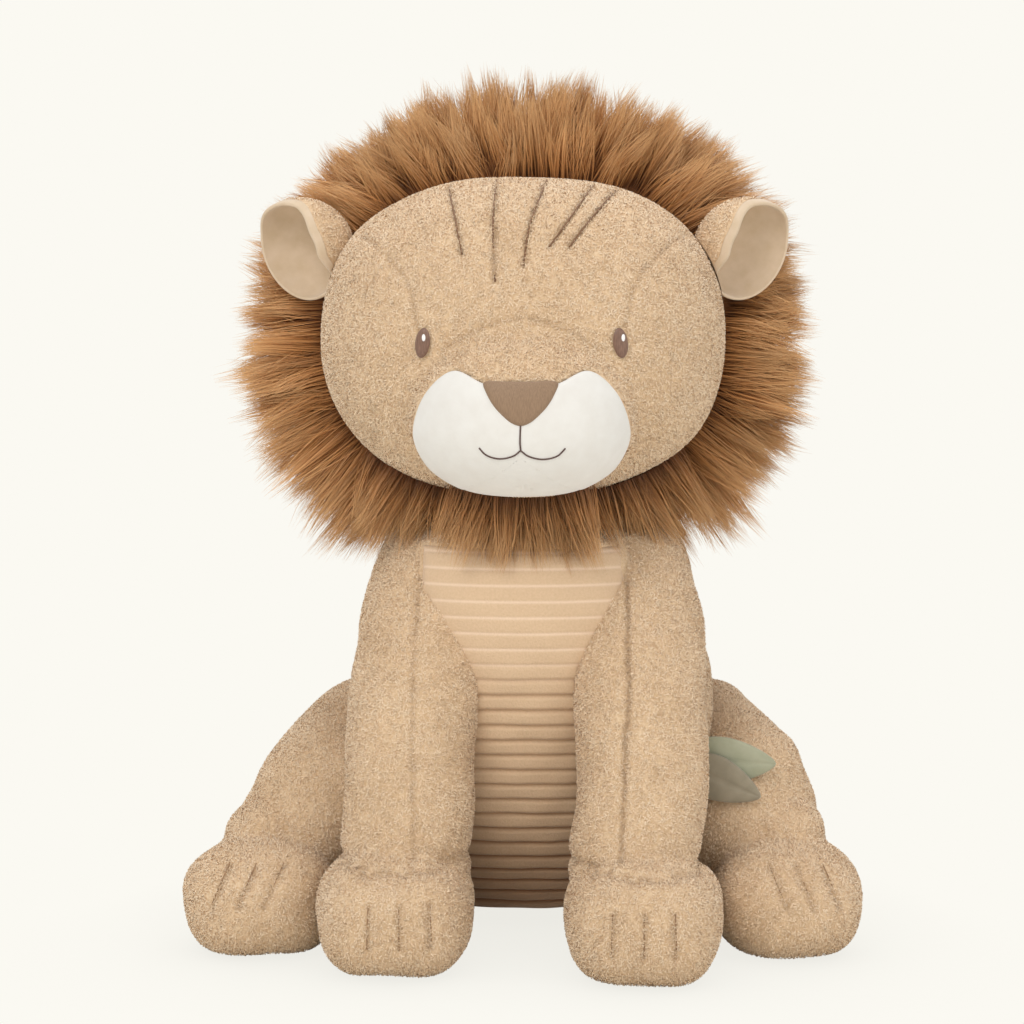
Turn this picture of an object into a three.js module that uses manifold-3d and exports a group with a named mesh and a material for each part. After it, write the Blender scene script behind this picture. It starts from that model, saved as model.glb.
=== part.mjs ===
// A large seated plush lion: stuffed torso, head, four legs and tail in looped pile fabric, a ribbed
// chest panel, a velour muzzle, a long-pile mane, and a tail that ends in two padded leaves.
// Millimetres, +Z up, the lion looks along -Y. The origin is the centre of its flat seat, on the floor.
// Left and right are the lion's own, so its left is +X. Each fabric skin is an open shell, and the
// fibre filling is a separate solid inside it. Pieces that can move are cut clear of what they pass.
import * as THREE from "three";
import { mergeVertices } from "three/addons/utils/BufferGeometryUtils.js";
import Module from "manifold-3d";

const wasm = await Module();
wasm.setup();
const { Manifold, Mesh: RawMesh } = wasm;

// Fabric and clearances
const pile = 3; // pile fabric, backing and loops together
const ribFabric = 2.2; // ribbed fabric of the chest, over its ribs
const velour = 2; // smooth fabric of the ear linings
const gap = 0.3; // between pieces that touch
const overrun = 6; // how far a cut runs past what it cuts

// Torso: level sections from the seat up to the neck
const torso = {
  height: 272,
  halfWidth: 92,
  halfDepth: 88,
  pressed: 18, // how much of the rounded underside the lion's weight presses flat
  belly: 84, // height of the widest section
  seatShare: 0.86, // of the widest section, at the underside
  shoulderShare: 0.92, // and at the top
  lean: 72, // how far the top lies in front of the seat
  square: 2.3,
  domeSquare: 3.6,
};
const rib = { pitch: 9.5, depth: 1.6 };
const ringsPerRib = 2;
const chest = {
  topHalfWidth: 61,
  waistHalfWidth: 36,
  hemHalfWidth: 52,
  topHeight: 244,
  neckline: 218, // below this the sides slope in to the waist
  waistHeight: 172,
  hemHeight: 9,
};
const seat = { halfWidth: 46, halfDepth: 42 };

// Neck: a firmly packed ball, on which the head turns and nods
const neckRadius = 46;
const headTurn = [-12, 12];
const headNod = [-6, 6];
const shoulderRoom = {
  halfWidth: 129,
  halfDepth: 100,
  halfHeight: 72,
  ahead: 1, // of the neck
  drop: 68, // below the neck
  square: 2.6,
  slack: 5, // round the front legs
};

// Head, snout and the pieces of the face, placed from the head's centre
const head = {
  halfWidth: 123,
  halfDepth: 98,
  halfHeight: 95,
  ahead: 26, // of the neck
  above: 95, // the neck
  square: 2.35,
};
const snout = {
  halfWidth: 67,
  halfDepth: 62,
  halfHeight: 50,
  reach: 125,
  drop: 43,
  square: 2.15,
};
const muzzle = { halfWidth: 62, top: -21, bottom: -90 };
const bridge = { halfWidth: 46, top: 10, side: -8, foot: -27 };
const nose = { halfWidth: 21, top: -27, height: 25, raise: 1.6 };
const mouth = { thread: 1.6, raise: 0.9, stem: 14, smileHalfWidth: 24, dip: 4, rise: 3 };
const eye = { halfWidth: 4.4, halfHeight: 8.3, out: 56.5, rise: -5.5, raise: 1.4 };
const glint = { halfWidth: 1.2, halfHeight: 2.2, inward: 1, rise: 2.8, raise: 0.8 };
const tuck = { thread: 1.6, raise: 0.9, top: 84 };
const tuckTopShares = [-0.34, -0.13, 0.1, 0.31, 0.415]; // of the head's half width
const tuckFootShares = [-0.275, -0.12, 0.01, 0.125, 0.22]; // of the head's half width
const tuckLengthShares = [0.39, 0.56, 0.48, 0.35, 0.33]; // of the head's half height

// Mane: a ruff of long pile round the face, and the long-pile back of the head
const mane = {
  halfWidth: 182,
  halfDepth: 84,
  halfHeight: 150,
  behind: 58, // the head's centre
  above: 13, // the head's centre
  square: 2.05,
  squareBelow: 3,
  seamBehind: 38, // the seam between ruff and back, behind the head's centre
};

// The part of the ruff that hangs under the chin, from the head's centre
const chinFur = { halfWidth: 116, halfDepth: 44, halfHeight: 37, ahead: 40, drop: 90, square: 2.15 };

// Ears: hooded cups with a smooth lining
const ear = {
  radius: 31,
  halfDepth: 21,
  out: 134,
  above: 52,
  hoodTurn: 30, // degrees that the opening turns outwards, which leaves a hood on the inner side
  hoodTilt: 12, // and down
};
const earFold = [-10, 15];

// Front legs
const foreleg = {
  outTop: 58,
  out: 67,
  aheadTop: 72,
  ahead: 146,
  top: 262,
  halfWidthTop: 29,
  halfWidth: 39,
  halfDepth: 38,
  cap: 36,
  ankle: 63,
  stride: 8, // how much further forward the left paw stands, and the right one back
};
const forepaw = { halfWidth: 46, halfDepth: 56, halfHeight: 38, ahead: 15, out: 5, pressed: 5, square: 2.3 };
const forelegSwing = 12;
const shoulderHinge = { back: 14, drop: 2 }; // from the top of the front leg

// Hind legs, which lie along the floor beside the torso
const hindleg = {
  rumpOut: 92,
  rumpBack: 60,
  rumpHeight: 66,
  hipOut: 100,
  hipBack: 2,
  hipHeight: 74,
  kneeOut: 126,
  kneeAhead: 53,
  kneeHeight: 70,
  ankleOut: 150,
  ankleAhead: 103,
  ankleHeight: 40,
  halfWidth: 59,
  halfHeight: 75,
  cap: 46,
  seam: 66, // how far ahead of the seat's centre the paw's seam lies
};
const hindpaw = { halfWidth: 46, halfDepth: 50, halfHeight: 36, ahead: 7, out: 7, pressed: 4, square: 2.3 };
const hindSplay = 8;
const hipHinge = { out: 45, back: 70 };

// Stitched toes, three lines on each paw
const toe = { thread: 1.7, raise: 1, spacing: 18, inward: 6, length: 25, height: 36 };
const hindToe = { height: 44, slant: 6 };

// Tail, which curls forward over the left thigh, and the leaves at its end
const tail = {
  radius: 9.5,
  tipRadius: 6.8,
  rootHeight: 62,
  seated: 26, // how far the root starts inside the torso
  swing: 22, // how far it swings back before it turns forward
  rest: 4, // clearance over the thigh and beside the torso
  reach: 111, // how far ahead of the seat's centre it ends
  tipHeight: 108,
};
const tailLift = 35;
const leaf = { length: 56, halfWidth: 13, thickness: 4.4, bevel: 1.5, apart: 1.6, apartUp: 7, base: 4 };
const leafAngles = { upper: -6, lower: -19 };
const tuftFlap = 25;

// Colours
const coat = material("coat", 0xd9b98c, 0.95);
const ribbed = material("ribbed", 0xdab78c, 0.9);
const cream = material("cream", 0xeeeae2, 0.85);
const lining = material("lining", 0xd3bc9a, 0.85);
const fur = material("fur", 0xb98751, 0.8);
const brown = material("brown", 0x957b66, 0.8);
const thread = material("thread", 0x6b5650, 0.6);
const white = material("white", 0xf4f1ee, 0.5);
const stitching = material("stitching", 0xb2946e, 0.8);
const sage = material("sage", 0xb4b8a0, 0.85);
const fibre = material("fibre", 0xf2f2ef, 1);

function material(name, color, roughness) {
  return new THREE.MeshStandardMaterial({ name, color, roughness, metalness: 0 });
}

// A three.js geometry as a solid, with its shared vertices merged.
function solid(geometry) {
  const bare = new THREE.BufferGeometry();
  bare.setAttribute("position", geometry.getAttribute("position"));
  if (geometry.index) bare.setIndex(geometry.index);
  const merged = mergeVertices(bare, 1e-4);
  return new Manifold(
    new RawMesh({
      numProp: 3,
      vertProperties: merged.attributes.position.array,
      triVerts: new Uint32Array(merged.index.array),
    }),
  );
}

// The largest body of a cut solid as a named mesh, without the offcuts.
function piece(name, body, finish) {
  const whole = body.decompose().reduce((a, b) => (b.volume() > a.volume() ? b : a));
  const raw = whole.getMesh();
  const geometry = new THREE.BufferGeometry();
  geometry.setAttribute("position", new THREE.BufferAttribute(raw.vertProperties, raw.numProp));
  geometry.setIndex(new THREE.BufferAttribute(raw.triVerts, 1));
  geometry.computeVertexNormals();
  const made = new THREE.Mesh(geometry, finish);
  made.name = name;
  return made;
}

// Rings of points joined into one closed skin. The first and the last ring are single points.
function closedSkin(rings) {
  const sides = rings[1].length;
  const points = [rings[0][0], ...rings.slice(1, -1).flat(), rings.at(-1)[0]];
  const faces = [];
  const at = (ring, side) => 1 + ring * sides + (side % sides);
  const last = points.length - 1;
  const inner = rings.length - 2;
  for (let side = 0; side < sides; side++) {
    faces.push(0, at(0, side + 1), at(0, side));
    faces.push(last, at(inner - 1, side), at(inner - 1, side + 1));
    for (let ring = 0; ring < inner - 1; ring++) {
      faces.push(at(ring, side), at(ring, side + 1), at(ring + 1, side));
      faces.push(at(ring, side + 1), at(ring + 1, side + 1), at(ring + 1, side));
    }
  }
  const geometry = new THREE.BufferGeometry();
  geometry.setAttribute("position", new THREE.Float32BufferAttribute(points.flat(), 3));
  geometry.setIndex(faces);
  const made = solid(geometry);
  if (made.volume() > 0) return made;
  geometry.setIndex(faces.reverse());
  return solid(geometry);
}

// How far a superellipse with half axes of 1 reaches in a direction.
function reachOf(way, square) {
  return way.reduce((sum, w) => sum + Math.abs(w) ** square, 0) ** (-1 / square);
}

// A stuffed, rounded form: an ellipsoid that the exponent square makes fuller.
function plump({ at, half, square, squareBelow = square }, inset = 0, fine = 1) {
  const sides = Math.round(24 * fine);
  const levels = Math.round(12 * fine);
  const rings = [];
  for (let level = 0; level <= levels; level++) {
    const rise = (Math.PI * level) / levels;
    const ring = [];
    for (let side = 0; side < (level % levels ? sides : 1); side++) {
      const turn = (2 * Math.PI * side) / sides;
      const wide = Math.sin(rise);
      const way = [wide * Math.cos(turn), wide * Math.sin(turn), -Math.cos(rise)];
      const power = (square + squareBelow + (square - squareBelow) * way[2]) / 2;
      const reach = reachOf(way, power);
      ring.push(way.map((w, axis) => at[axis] + w * reach * (half[axis] - inset)));
    }
    rings.push(ring);
  }
  return closedSkin(rings);
}

// A stuffed limb along a curve, with round caps. Widths lie along side, and depths square to it.
function limb({ spine, widths, depths, side, cap, sides = 16, steps = 12 }, inset = 0, fine = 1) {
  const curve = new THREE.CatmullRomCurve3(spine.map((p) => new THREE.Vector3(...p)));
  const length = curve.getLength();
  const reference = new THREE.Vector3(...side);
  const around = Math.round(sides * fine);
  const stations = Math.round(steps * fine);
  const between = (values, share) => {
    const place = share * (values.length - 1);
    const low = Math.min(Math.floor(place), values.length - 2);
    const ease = THREE.MathUtils.smoothstep(place - low, 0, 1);
    return values[low] + (values[low + 1] - values[low]) * ease;
  };
  const rings = [];
  for (let station = 0; station <= stations; station++) {
    const along = (1 - Math.cos((Math.PI * station) / stations)) / 2; // closer together at the ends
    const share = (inset + along * (length - 2 * inset)) / length;
    const fromEnd = Math.min(share, 1 - share) * length - inset;
    const intoCap = THREE.MathUtils.clamp(fromEnd / (cap - inset), 0, 1);
    const round = Math.sqrt(1 - (1 - intoCap) ** 2);
    const place = THREE.MathUtils.clamp(share, 0, 1);
    const ahead = curve.getTangentAt(place);
    const centre = curve.getPointAt(place).addScaledVector(ahead, (share - place) * length);
    const across = reference.clone().addScaledVector(ahead, -ahead.dot(reference)).normalize();
    const deep = new THREE.Vector3().crossVectors(ahead, across);
    const ring = [];
    for (let turn = 0; turn < (station % stations ? around : 1); turn++) {
      const angle = (2 * Math.PI * turn) / around;
      const point = centre.clone();
      point.addScaledVector(across, Math.cos(angle) * (between(widths, place) - inset) * round);
      point.addScaledVector(deep, Math.sin(angle) * (between(depths, place) - inset) * round);
      ring.push(point.toArray());
    }
    rings.push(ring);
  }
  return closedSkin(rings);
}

// A solid box between two corners.
function block(low, high) {
  const box = new THREE.BoxGeometry(...high.map((h, axis) => h - low[axis]));
  box.translate(...high.map((h, axis) => (h + low[axis]) / 2));
  return solid(box);
}

// An outline in X and Z, run along Y from near to far.
function prism(shape, near, far) {
  const geometry = new THREE.ExtrudeGeometry(shape, {
    depth: far - near,
    bevelEnabled: false,
    curveSegments: 6,
  });
  geometry.rotateX(Math.PI / 2); // the outline's Y becomes Z, and the depth runs along -Y
  geometry.translate(0, far, 0);
  return solid(geometry);
}

// An outline in X and Y, run up from low to high.
function column(shape, low, high) {
  const geometry = new THREE.ExtrudeGeometry(shape, {
    depth: high - low,
    bevelEnabled: false,
    curveSegments: 8,
  });
  geometry.translate(0, 0, low);
  return solid(geometry);
}

function oval(x, y, halfWidth, halfHeight) {
  const shape = new THREE.Shape();
  shape.absellipse(x, y, halfWidth, halfHeight, 0, 2 * Math.PI, false, 0);
  return shape;
}

// The outline of a line of stitching along a smooth curve through points.
function stitchLine(points, width, steps = 6) {
  const curve = new THREE.SplineCurve(points.map(([x, z]) => new THREE.Vector2(x, z)));
  const left = [];
  const right = [];
  for (let step = 0; step <= steps; step++) {
    const at = curve.getPointAt(step / steps);
    const along = curve.getTangentAt(step / steps);
    const out = new THREE.Vector2(-along.y, along.x).multiplyScalar(width / 2);
    left.push(at.clone().add(out));
    right.unshift(at.clone().sub(out));
  }
  return new THREE.Shape([...left, ...right]);
}

// The same closed outline moved outwards by a clearance.
function grown(points, by) {
  const turn = THREE.ShapeUtils.isClockWise(points) ? -1 : 1;
  const moved = points.map((point, i) => {
    const before = points[(i + points.length - 1) % points.length];
    const after = points[(i + 1) % points.length];
    const arriving = point.clone().sub(before).normalize();
    const leaving = after.clone().sub(point).normalize();
    const out = new THREE.Vector2(arriving.y + leaving.y, -arriving.x - leaving.x);
    const spread = Math.max(out.lengthSq() / 2, 1 / 2);
    return point.clone().addScaledVector(out, (turn * by) / spread);
  });
  return new THREE.Shape(moved);
}

// A raised layer, such as embroidery, that follows the surface of form inside a cutting tool.
function raised(form, tool, raise, above = gap) {
  return form(-above - raise).intersect(tool).subtract(form(-above));
}

// A body turned about an axis through a pivot.
function turned(body, pivot, axis, degrees) {
  const turn = new THREE.Matrix4().makeRotationAxis(
    new THREE.Vector3(...axis).normalize(),
    THREE.MathUtils.degToRad(degrees),
  );
  const there = new THREE.Matrix4().makeTranslation(...pivot);
  const back = there.clone().invert();
  return body.transform(there.multiply(turn).multiply(back).elements);
}

// The space that a body takes as it turns about an axis from one angle to another.
function swept(body, pivot, axis, low, high, steps = 2) {
  let space = turned(body, pivot, axis, low);
  for (let step = 1; step <= steps; step++) {
    space = space.add(turned(body, pivot, axis, low + ((high - low) * step) / steps));
  }
  return space;
}

const coarse = 0.5; // share of the faces that inner surfaces, fillings and room for motion need
const facetSlack = 1.2; // so that room swept in a few steps, or by a coarser form, is wide enough
const furFine = 0.84; // share of the faces that the mane needs
const legFine = 0.6; // share of the faces that the legs have where the head must pass them
const beyond = 2 * (torso.height + mane.halfHeight); // outside the whole lion
const aheadOf = (y) => block([-beyond, -beyond, -beyond], [beyond, y, beyond]);
const below = (z) => block([-beyond, -beyond, -beyond], [beyond, beyond, z]);
const onFloor = (body, inset = 0) => body.subtract(below(Math.max(inset, 0)));
const mirrorX = (body) => body.mirror([1, 0, 0]);
const ofSide = (body, side) => (side === "left" ? body : mirrorX(body));

// Torso

function torsoForm(inset = 0, fine = 1, ribs = false) {
  const low = inset - torso.pressed;
  const high = torso.height - inset;
  const levels = ribs ? Math.round(((high - low) * ringsPerRib) / rib.pitch) : Math.round(16 * fine);
  const sides = Math.round(28 * fine);
  const widest = (torso.belly + torso.pressed) / (torso.height + torso.pressed);
  const rings = [];
  for (let level = 0; level <= levels; level++) {
    const along = ribs ? level / levels : (1 - Math.cos((Math.PI * level) / levels)) / 2;
    const z = low + (high - low) * along;
    const rise = (z + torso.pressed) / (torso.height + torso.pressed);
    const seatTaper = 1 - (1 - torso.seatShare) * (1 - rise / widest) ** 2;
    const shoulderTaper = 1 - (1 - torso.shoulderShare) * ((rise - widest) / (1 - widest)) ** 2;
    const taper = rise < widest ? seatTaper : shoulderTaper;
    const centreY = -torso.lean * THREE.MathUtils.smoothstep(rise, 0, 1);
    const round = (1 - Math.abs(2 * along - 1) ** torso.domeSquare) ** (1 / torso.domeSquare);
    const groove = ribs && level % ringsPerRib === 0 ? rib.depth : 0;
    const halves = [torso.halfWidth, torso.halfDepth].map((h) => (h * taper - inset - groove) * round);
    const ring = [];
    for (let side = 0; side < (level % levels ? sides : 1); side++) {
      const turn = (2 * Math.PI * side) / sides;
      const way = [Math.cos(turn), Math.sin(turn)];
      const reach = reachOf(way, torso.square);
      ring.push([way[0] * reach * halves[0], centreY + way[1] * reach * halves[1], z]);
    }
    rings.push(ring);
  }
  return closedSkin(rings);
}

const neckAt = [0, -torso.lean, torso.height];
const neckBall = (inset = 0) => plump({ at: neckAt, half: Array(3).fill(neckRadius), square: 2 }, inset);
const facetSlackShare = 0.013; // so that the faceted ball also turns freely in its faceted socket
const neckSocket = neckBall(-gap - neckRadius * facetSlackShare);
const torsoRoom = torsoForm(-gap).add(neckSocket);

function torsoPieces() {
  const half = [
    [chest.topHalfWidth, chest.topHeight],
    [chest.topHalfWidth, chest.neckline],
    [chest.waistHalfWidth, chest.waistHeight],
    [chest.waistHalfWidth, torso.belly],
    [chest.hemHalfWidth, chest.hemHeight],
  ];
  const otherHalf = half.map(([x, z]) => [-x, z]).reverse();
  const outline = [...half, ...otherHalf].map(([x, z]) => new THREE.Vector2(x, z));
  const near = -torso.lean - torso.halfDepth - overrun;
  const behindPanel = -torso.lean / 2;
  const inside = onFloor(torsoForm(pile, coarse), pile);
  const seatHole = oval(0, 0, seat.halfWidth + gap, seat.halfDepth + gap);
  const skin = onFloor(torsoForm())
    .subtract(inside)
    .subtract(prism(grown(outline, gap), near, behindPanel))
    .subtract(column(seatHole, -overrun, pile + gap))
    .subtract(neckSocket);
  const panel = torsoForm(pile - ribFabric, 1, true)
    .intersect(prism(new THREE.Shape(outline), near, behindPanel))
    .subtract(inside)
    .subtract(neckSocket);
  const filling = onFloor(torsoForm(pile + gap, coarse), pile + gap).subtract(neckSocket);
  return [
    piece("torso_skin", skin, coat),
    piece("chest_panel", panel, ribbed),
    piece("seat_panel", column(oval(0, 0, seat.halfWidth, seat.halfDepth), 0, pile), coat),
    piece("torso_fill", filling, fibre),
  ];
}

// Front legs

const shoulderPivot = [
  foreleg.outTop,
  shoulderHinge.back - foreleg.aheadTop,
  foreleg.top - shoulderHinge.drop,
];
const strideOf = { left: foreleg.stride, right: -foreleg.stride };

function forepawForm(stride, inset = 0, fine = 1) {
  const at = [
    foreleg.out + forepaw.out,
    -foreleg.ahead - forepaw.ahead - stride,
    forepaw.halfHeight - forepaw.pressed,
  ];
  const half = [forepaw.halfWidth, forepaw.halfDepth, forepaw.halfHeight];
  return plump({ at, half, square: forepaw.square }, inset, 0.72 * fine);
}

function forelegForm(stride, inset = 0, fine = 1) {
  const downShares = [0, 0.16, 0.4, 0.66, 0.9, 1]; // of the way from the shoulder to the sole
  const outShares = [0, 0.7, 0.9, 1, 1, 1];
  const aheadShares = [0, 0.32, 0.7, 0.92, 1, 1];
  const sole = foreleg.ankle / 3;
  const spine = downShares.map((share, i) => [
    foreleg.outTop + (foreleg.out - foreleg.outTop) * outShares[i],
    -foreleg.aheadTop - (foreleg.ahead - foreleg.aheadTop) * aheadShares[i] - stride * share,
    foreleg.top + (sole - foreleg.top) * share,
  ]);
  const widths = [foreleg.halfWidthTop, foreleg.halfWidth, foreleg.halfWidth, foreleg.halfWidth];
  const depths = [foreleg.halfWidthTop, foreleg.halfDepth, foreleg.halfDepth, foreleg.halfDepth];
  const leg = limb({ spine, widths, depths, side: [1, 0, 0], cap: foreleg.cap }, inset, fine);
  return onFloor(leg.add(forepawForm(stride, inset, fine)), inset);
}

// Three lines of stitching on the front of a paw, round its middle at a height.
function toeLines(form, middle, height, slant, near, behindLines) {
  return [-1, 0, 1].map((place) => {
    const x = middle - toe.inward + place * toe.spacing;
    const top = [x - slant / 2, height + toe.length / 2];
    const foot = [x + slant / 2, height - toe.length / 2];
    const line = stitchLine([top, [x, height], foot], toe.thread, 2);
    return raised(form, prism(line, near, behindLines), toe.raise);
  });
}

function frontLegPieces(side) {
  const stride = strideOf[side];
  const room = torsoRoom.add(turned(torsoForm(0, coarse), shoulderPivot, [1, 0, 0], forelegSwing));
  const whole = forelegForm(stride).subtract(room);
  const shell = whole.subtract(forelegForm(stride, pile, coarse));
  const skin = shell.subtract(below(foreleg.ankle + gap / 2));
  const pawSkin = shell.intersect(below(foreleg.ankle - gap / 2));
  const filling = forelegForm(stride, pile + gap, coarse).subtract(room);
  const pawY = -foreleg.ahead - forepaw.ahead - stride;
  const pawMiddle = foreleg.out + forepaw.out;
  const pawForm = (inset) => forepawForm(stride, inset);
  const toes = toeLines(pawForm, pawMiddle, toe.height, 0, pawY - forepaw.halfDepth - overrun, pawY);
  return [
    piece(`front_leg_${side}_skin`, ofSide(skin, side), coat),
    piece(`front_paw_${side}_skin`, ofSide(pawSkin, side), coat),
    piece(`front_leg_${side}_fill`, ofSide(filling, side), fibre),
    ...toes.map((line, i) => piece(`front_paw_${side}_toe_${i + 1}`, ofSide(line, side), stitching)),
  ];
}

// The room that a front leg needs beside it, at rest and swung forward.
function forelegRoom(side) {
  const body = forelegForm(strideOf[side], -gap);
  const coarseBody = forelegForm(strideOf[side], -facetSlack, coarse);
  return body.add(turned(coarseBody, shoulderPivot, [-1, 0, 0], forelegSwing));
}

// Tail and leaves

const tailRootY = torso.halfDepth - tail.seated;
const tailPivot = [0, tailRootY + tail.radius, tail.rootHeight];
const tailSpine = [0, 1, 2, 3, 4, 5, 6, 7].map((i) => {
  const outShares = [0, 0.33, 0.69, 0.94, 1, 1.01, 1, 0.95];
  const swingShares = [0, 1, 1, 0.1, 0, 0, 0, 0];
  const aheadShares = [0, 0, 0, 0.03, 0.36, 0.66, 0.87, 1];
  const riseShares = [0, 0.05, 0.31, 0.71, 1, 0.9];
  const fallShares = { 6: 0.42, 7: 0 };
  const out = torso.halfWidth + tail.radius + tail.rest;
  const top = hindleg.hipHeight + hindleg.halfHeight + tail.radius + tail.rest;
  const height =
    i < riseShares.length
      ? tail.rootHeight + (top - tail.rootHeight) * riseShares[i]
      : tail.tipHeight + (top - tail.tipHeight) * fallShares[i];
  const y = tailRootY + tail.swing * swingShares[i] - (tailRootY + tail.reach) * aheadShares[i];
  return [out * outShares[i], y, height];
});
const tailTip = tailSpine.at(-1);

function tailForm(inset = 0, fine = 1) {
  const radii = [tail.radius, tail.radius, tail.radius, tail.radius, tail.tipRadius];
  const route = { spine: tailSpine, widths: radii, depths: radii, side: [0.4, 0.1, 1] };
  return limb({ ...route, cap: tail.tipRadius, sides: 10, steps: 24 }, inset, fine);
}

// A padded leaf, pointing along +X from its base and turned by an angle in the X and Z plane.
function leafForm(name, inset = 0) {
  const { length, halfWidth, thickness, bevel, apart, apartUp, base } = leaf;
  const shape = new THREE.Shape();
  shape.moveTo(0, 0);
  shape.bezierCurveTo(length * 0.15, halfWidth * 1.2, length * 0.6, halfWidth * 1.5, length, 0);
  shape.bezierCurveTo(length * 0.6, -halfWidth * 1.5, length * 0.15, -halfWidth * 1.2, 0, 0);
  const geometry = new THREE.ExtrudeGeometry(shape, {
    depth: thickness - 2 * bevel - 2 * inset,
    bevelThickness: bevel,
    bevelSize: bevel,
    bevelOffset: -bevel - inset,
    bevelSegments: 1,
    curveSegments: 8,
  });
  const place = name === "upper" ? 1 : -1;
  geometry.translate(-base, 0, -(thickness - 2 * bevel - 2 * inset) / 2);
  geometry.rotateX(Math.PI / 2);
  geometry.rotateY(-THREE.MathUtils.degToRad(leafAngles[name]));
  const y = tailTip[1] + (place * (thickness + apart)) / 2;
  const z = tailTip[2] + (place * apartUp) / 2;
  geometry.translate(tailTip[0], y, z);
  return solid(geometry);
}

function tailPieces() {
  const torsoPassing = swept(torsoForm(-gap), tailPivot, [1, 0, 0], 0, tailLift, 4);
  const whole = tailForm().subtract(torsoPassing);
  const skin = whole.subtract(tailForm(pile, coarse));
  const filling = tailForm(pile + gap, coarse).subtract(torsoPassing);
  const tailPassing = swept(tailForm(-gap), tailTip, [0, 0, 1], 0, tuftFlap, 3);
  return [
    piece("tail_skin", skin, coat),
    piece("tail_fill", filling, fibre),
    piece("leaf_upper", leafForm("upper").subtract(tailPassing), sage),
    piece("leaf_lower", leafForm("lower").subtract(tailPassing), sage),
  ];
}

// Hind legs

const hipPivot = [hipHinge.out, hipHinge.back, 0];

function hindpawForm(inset = 0, fine = 1) {
  const at = [
    hindleg.ankleOut + hindpaw.out,
    -hindleg.ankleAhead - hindpaw.ahead,
    hindpaw.halfHeight - hindpaw.pressed,
  ];
  const half = [hindpaw.halfWidth, hindpaw.halfDepth, hindpaw.halfHeight];
  return plump({ at, half, square: hindpaw.square }, inset, 0.72 * fine);
}

function hindlegForm(inset = 0, fine = 1) {
  const spine = [
    [hindleg.rumpOut, hindleg.rumpBack, hindleg.rumpHeight],
    [hindleg.hipOut, hindleg.hipBack, hindleg.hipHeight],
    [hindleg.kneeOut, -hindleg.kneeAhead, hindleg.kneeHeight],
    [hindleg.ankleOut, -hindleg.ankleAhead, hindleg.ankleHeight],
  ];
  const heightShares = [0.9, 1, 0.84, 0.54];
  const widthShares = [0.95, 1, 0.88, 0.72];
  const widths = heightShares.map((share) => share * hindleg.halfHeight);
  const depths = widthShares.map((share) => share * hindleg.halfWidth);
  const leg = limb({ spine, widths, depths, side: [0, 0, 1], cap: hindleg.cap }, inset, fine);
  return onFloor(leg.add(hindpawForm(inset, fine)), inset);
}

function hindLegPieces(side) {
  const up = [0, 0, 1];
  let room = torsoRoom
    .add(turned(torsoForm(0, coarse), hipPivot, up, -hindSplay))
    .add(forelegRoom(side));
  if (side === "left") {
    const whole = tailForm(-gap).add(leafForm("upper", -gap)).add(leafForm("lower", -gap));
    room = room.add(swept(whole, hipPivot, up, 0, -hindSplay, 1));
  }
  const whole = hindlegForm().subtract(room);
  const shell = whole.subtract(hindlegForm(pile, coarse));
  const skin = shell.subtract(aheadOf(-hindleg.seam + gap / 2));
  const pawSkin = shell.intersect(aheadOf(-hindleg.seam - gap / 2));
  const filling = hindlegForm(pile + gap, coarse).subtract(room);
  const pawY = -hindleg.ankleAhead - hindpaw.ahead;
  const near = pawY - hindpaw.halfDepth - overrun;
  const pawMiddle = hindleg.ankleOut + hindpaw.out;
  const toes = toeLines(hindpawForm, pawMiddle, hindToe.height, hindToe.slant, near, pawY);
  return [
    piece(`hind_leg_${side}_skin`, ofSide(skin, side), coat),
    piece(`hind_paw_${side}_skin`, ofSide(pawSkin, side), coat),
    piece(`hind_leg_${side}_fill`, ofSide(filling, side), fibre),
    ...toes.map((line, i) => piece(`hind_paw_${side}_toe_${i + 1}`, ofSide(line, side), stitching)),
  ];
}

// Head

const headAt = [0, -torso.lean - head.ahead, torso.height + head.above];
const snoutAt = [0, headAt[1] - snout.reach + snout.halfDepth, headAt[2] - snout.drop];
const headShape = {
  at: headAt,
  half: [head.halfWidth, head.halfDepth, head.halfHeight],
  square: head.square,
};
const snoutShape = {
  at: snoutAt,
  half: [snout.halfWidth, snout.halfDepth, snout.halfHeight],
  square: snout.square,
};
const headForm = (inset = 0, fine = 1) =>
  plump(headShape, inset, fine).add(plump(snoutShape, inset, 0.8 * fine));
const faceNear = headAt[1] - snout.reach - overrun;
const onFace = (x, z) => new THREE.Vector2(x, headAt[2] + z);
const facePrism = (shape, behindPiece = snoutAt[1]) => prism(shape, faceNear, behindPiece);

// The space under the head that the shoulders take as it turns and nods: a rounded room, and the front
// legs swung forward as the nodding head meets them.
function shouldersPassing() {
  let space = plump({
    at: [0, -torso.lean - shoulderRoom.ahead, torso.height - shoulderRoom.drop],
    half: [shoulderRoom.halfWidth, shoulderRoom.halfDepth, shoulderRoom.halfHeight],
    square: shoulderRoom.square,
  });
  for (const side of ["left", "right"]) {
    const leg = forelegForm(strideOf[side], -shoulderRoom.slack, legFine);
    const forward = ofSide(turned(leg, shoulderPivot, [-1, 0, 0], forelegSwing), side);
    for (const turn of [headTurn[0], 0, headTurn[1]]) {
      const asTurned = turned(forward, neckAt, [0, 0, 1], -turn);
      space = space.add(turned(asTurned, neckAt, [1, 0, 0], -headNod[1]));
    }
  }
  return space;
}

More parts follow.
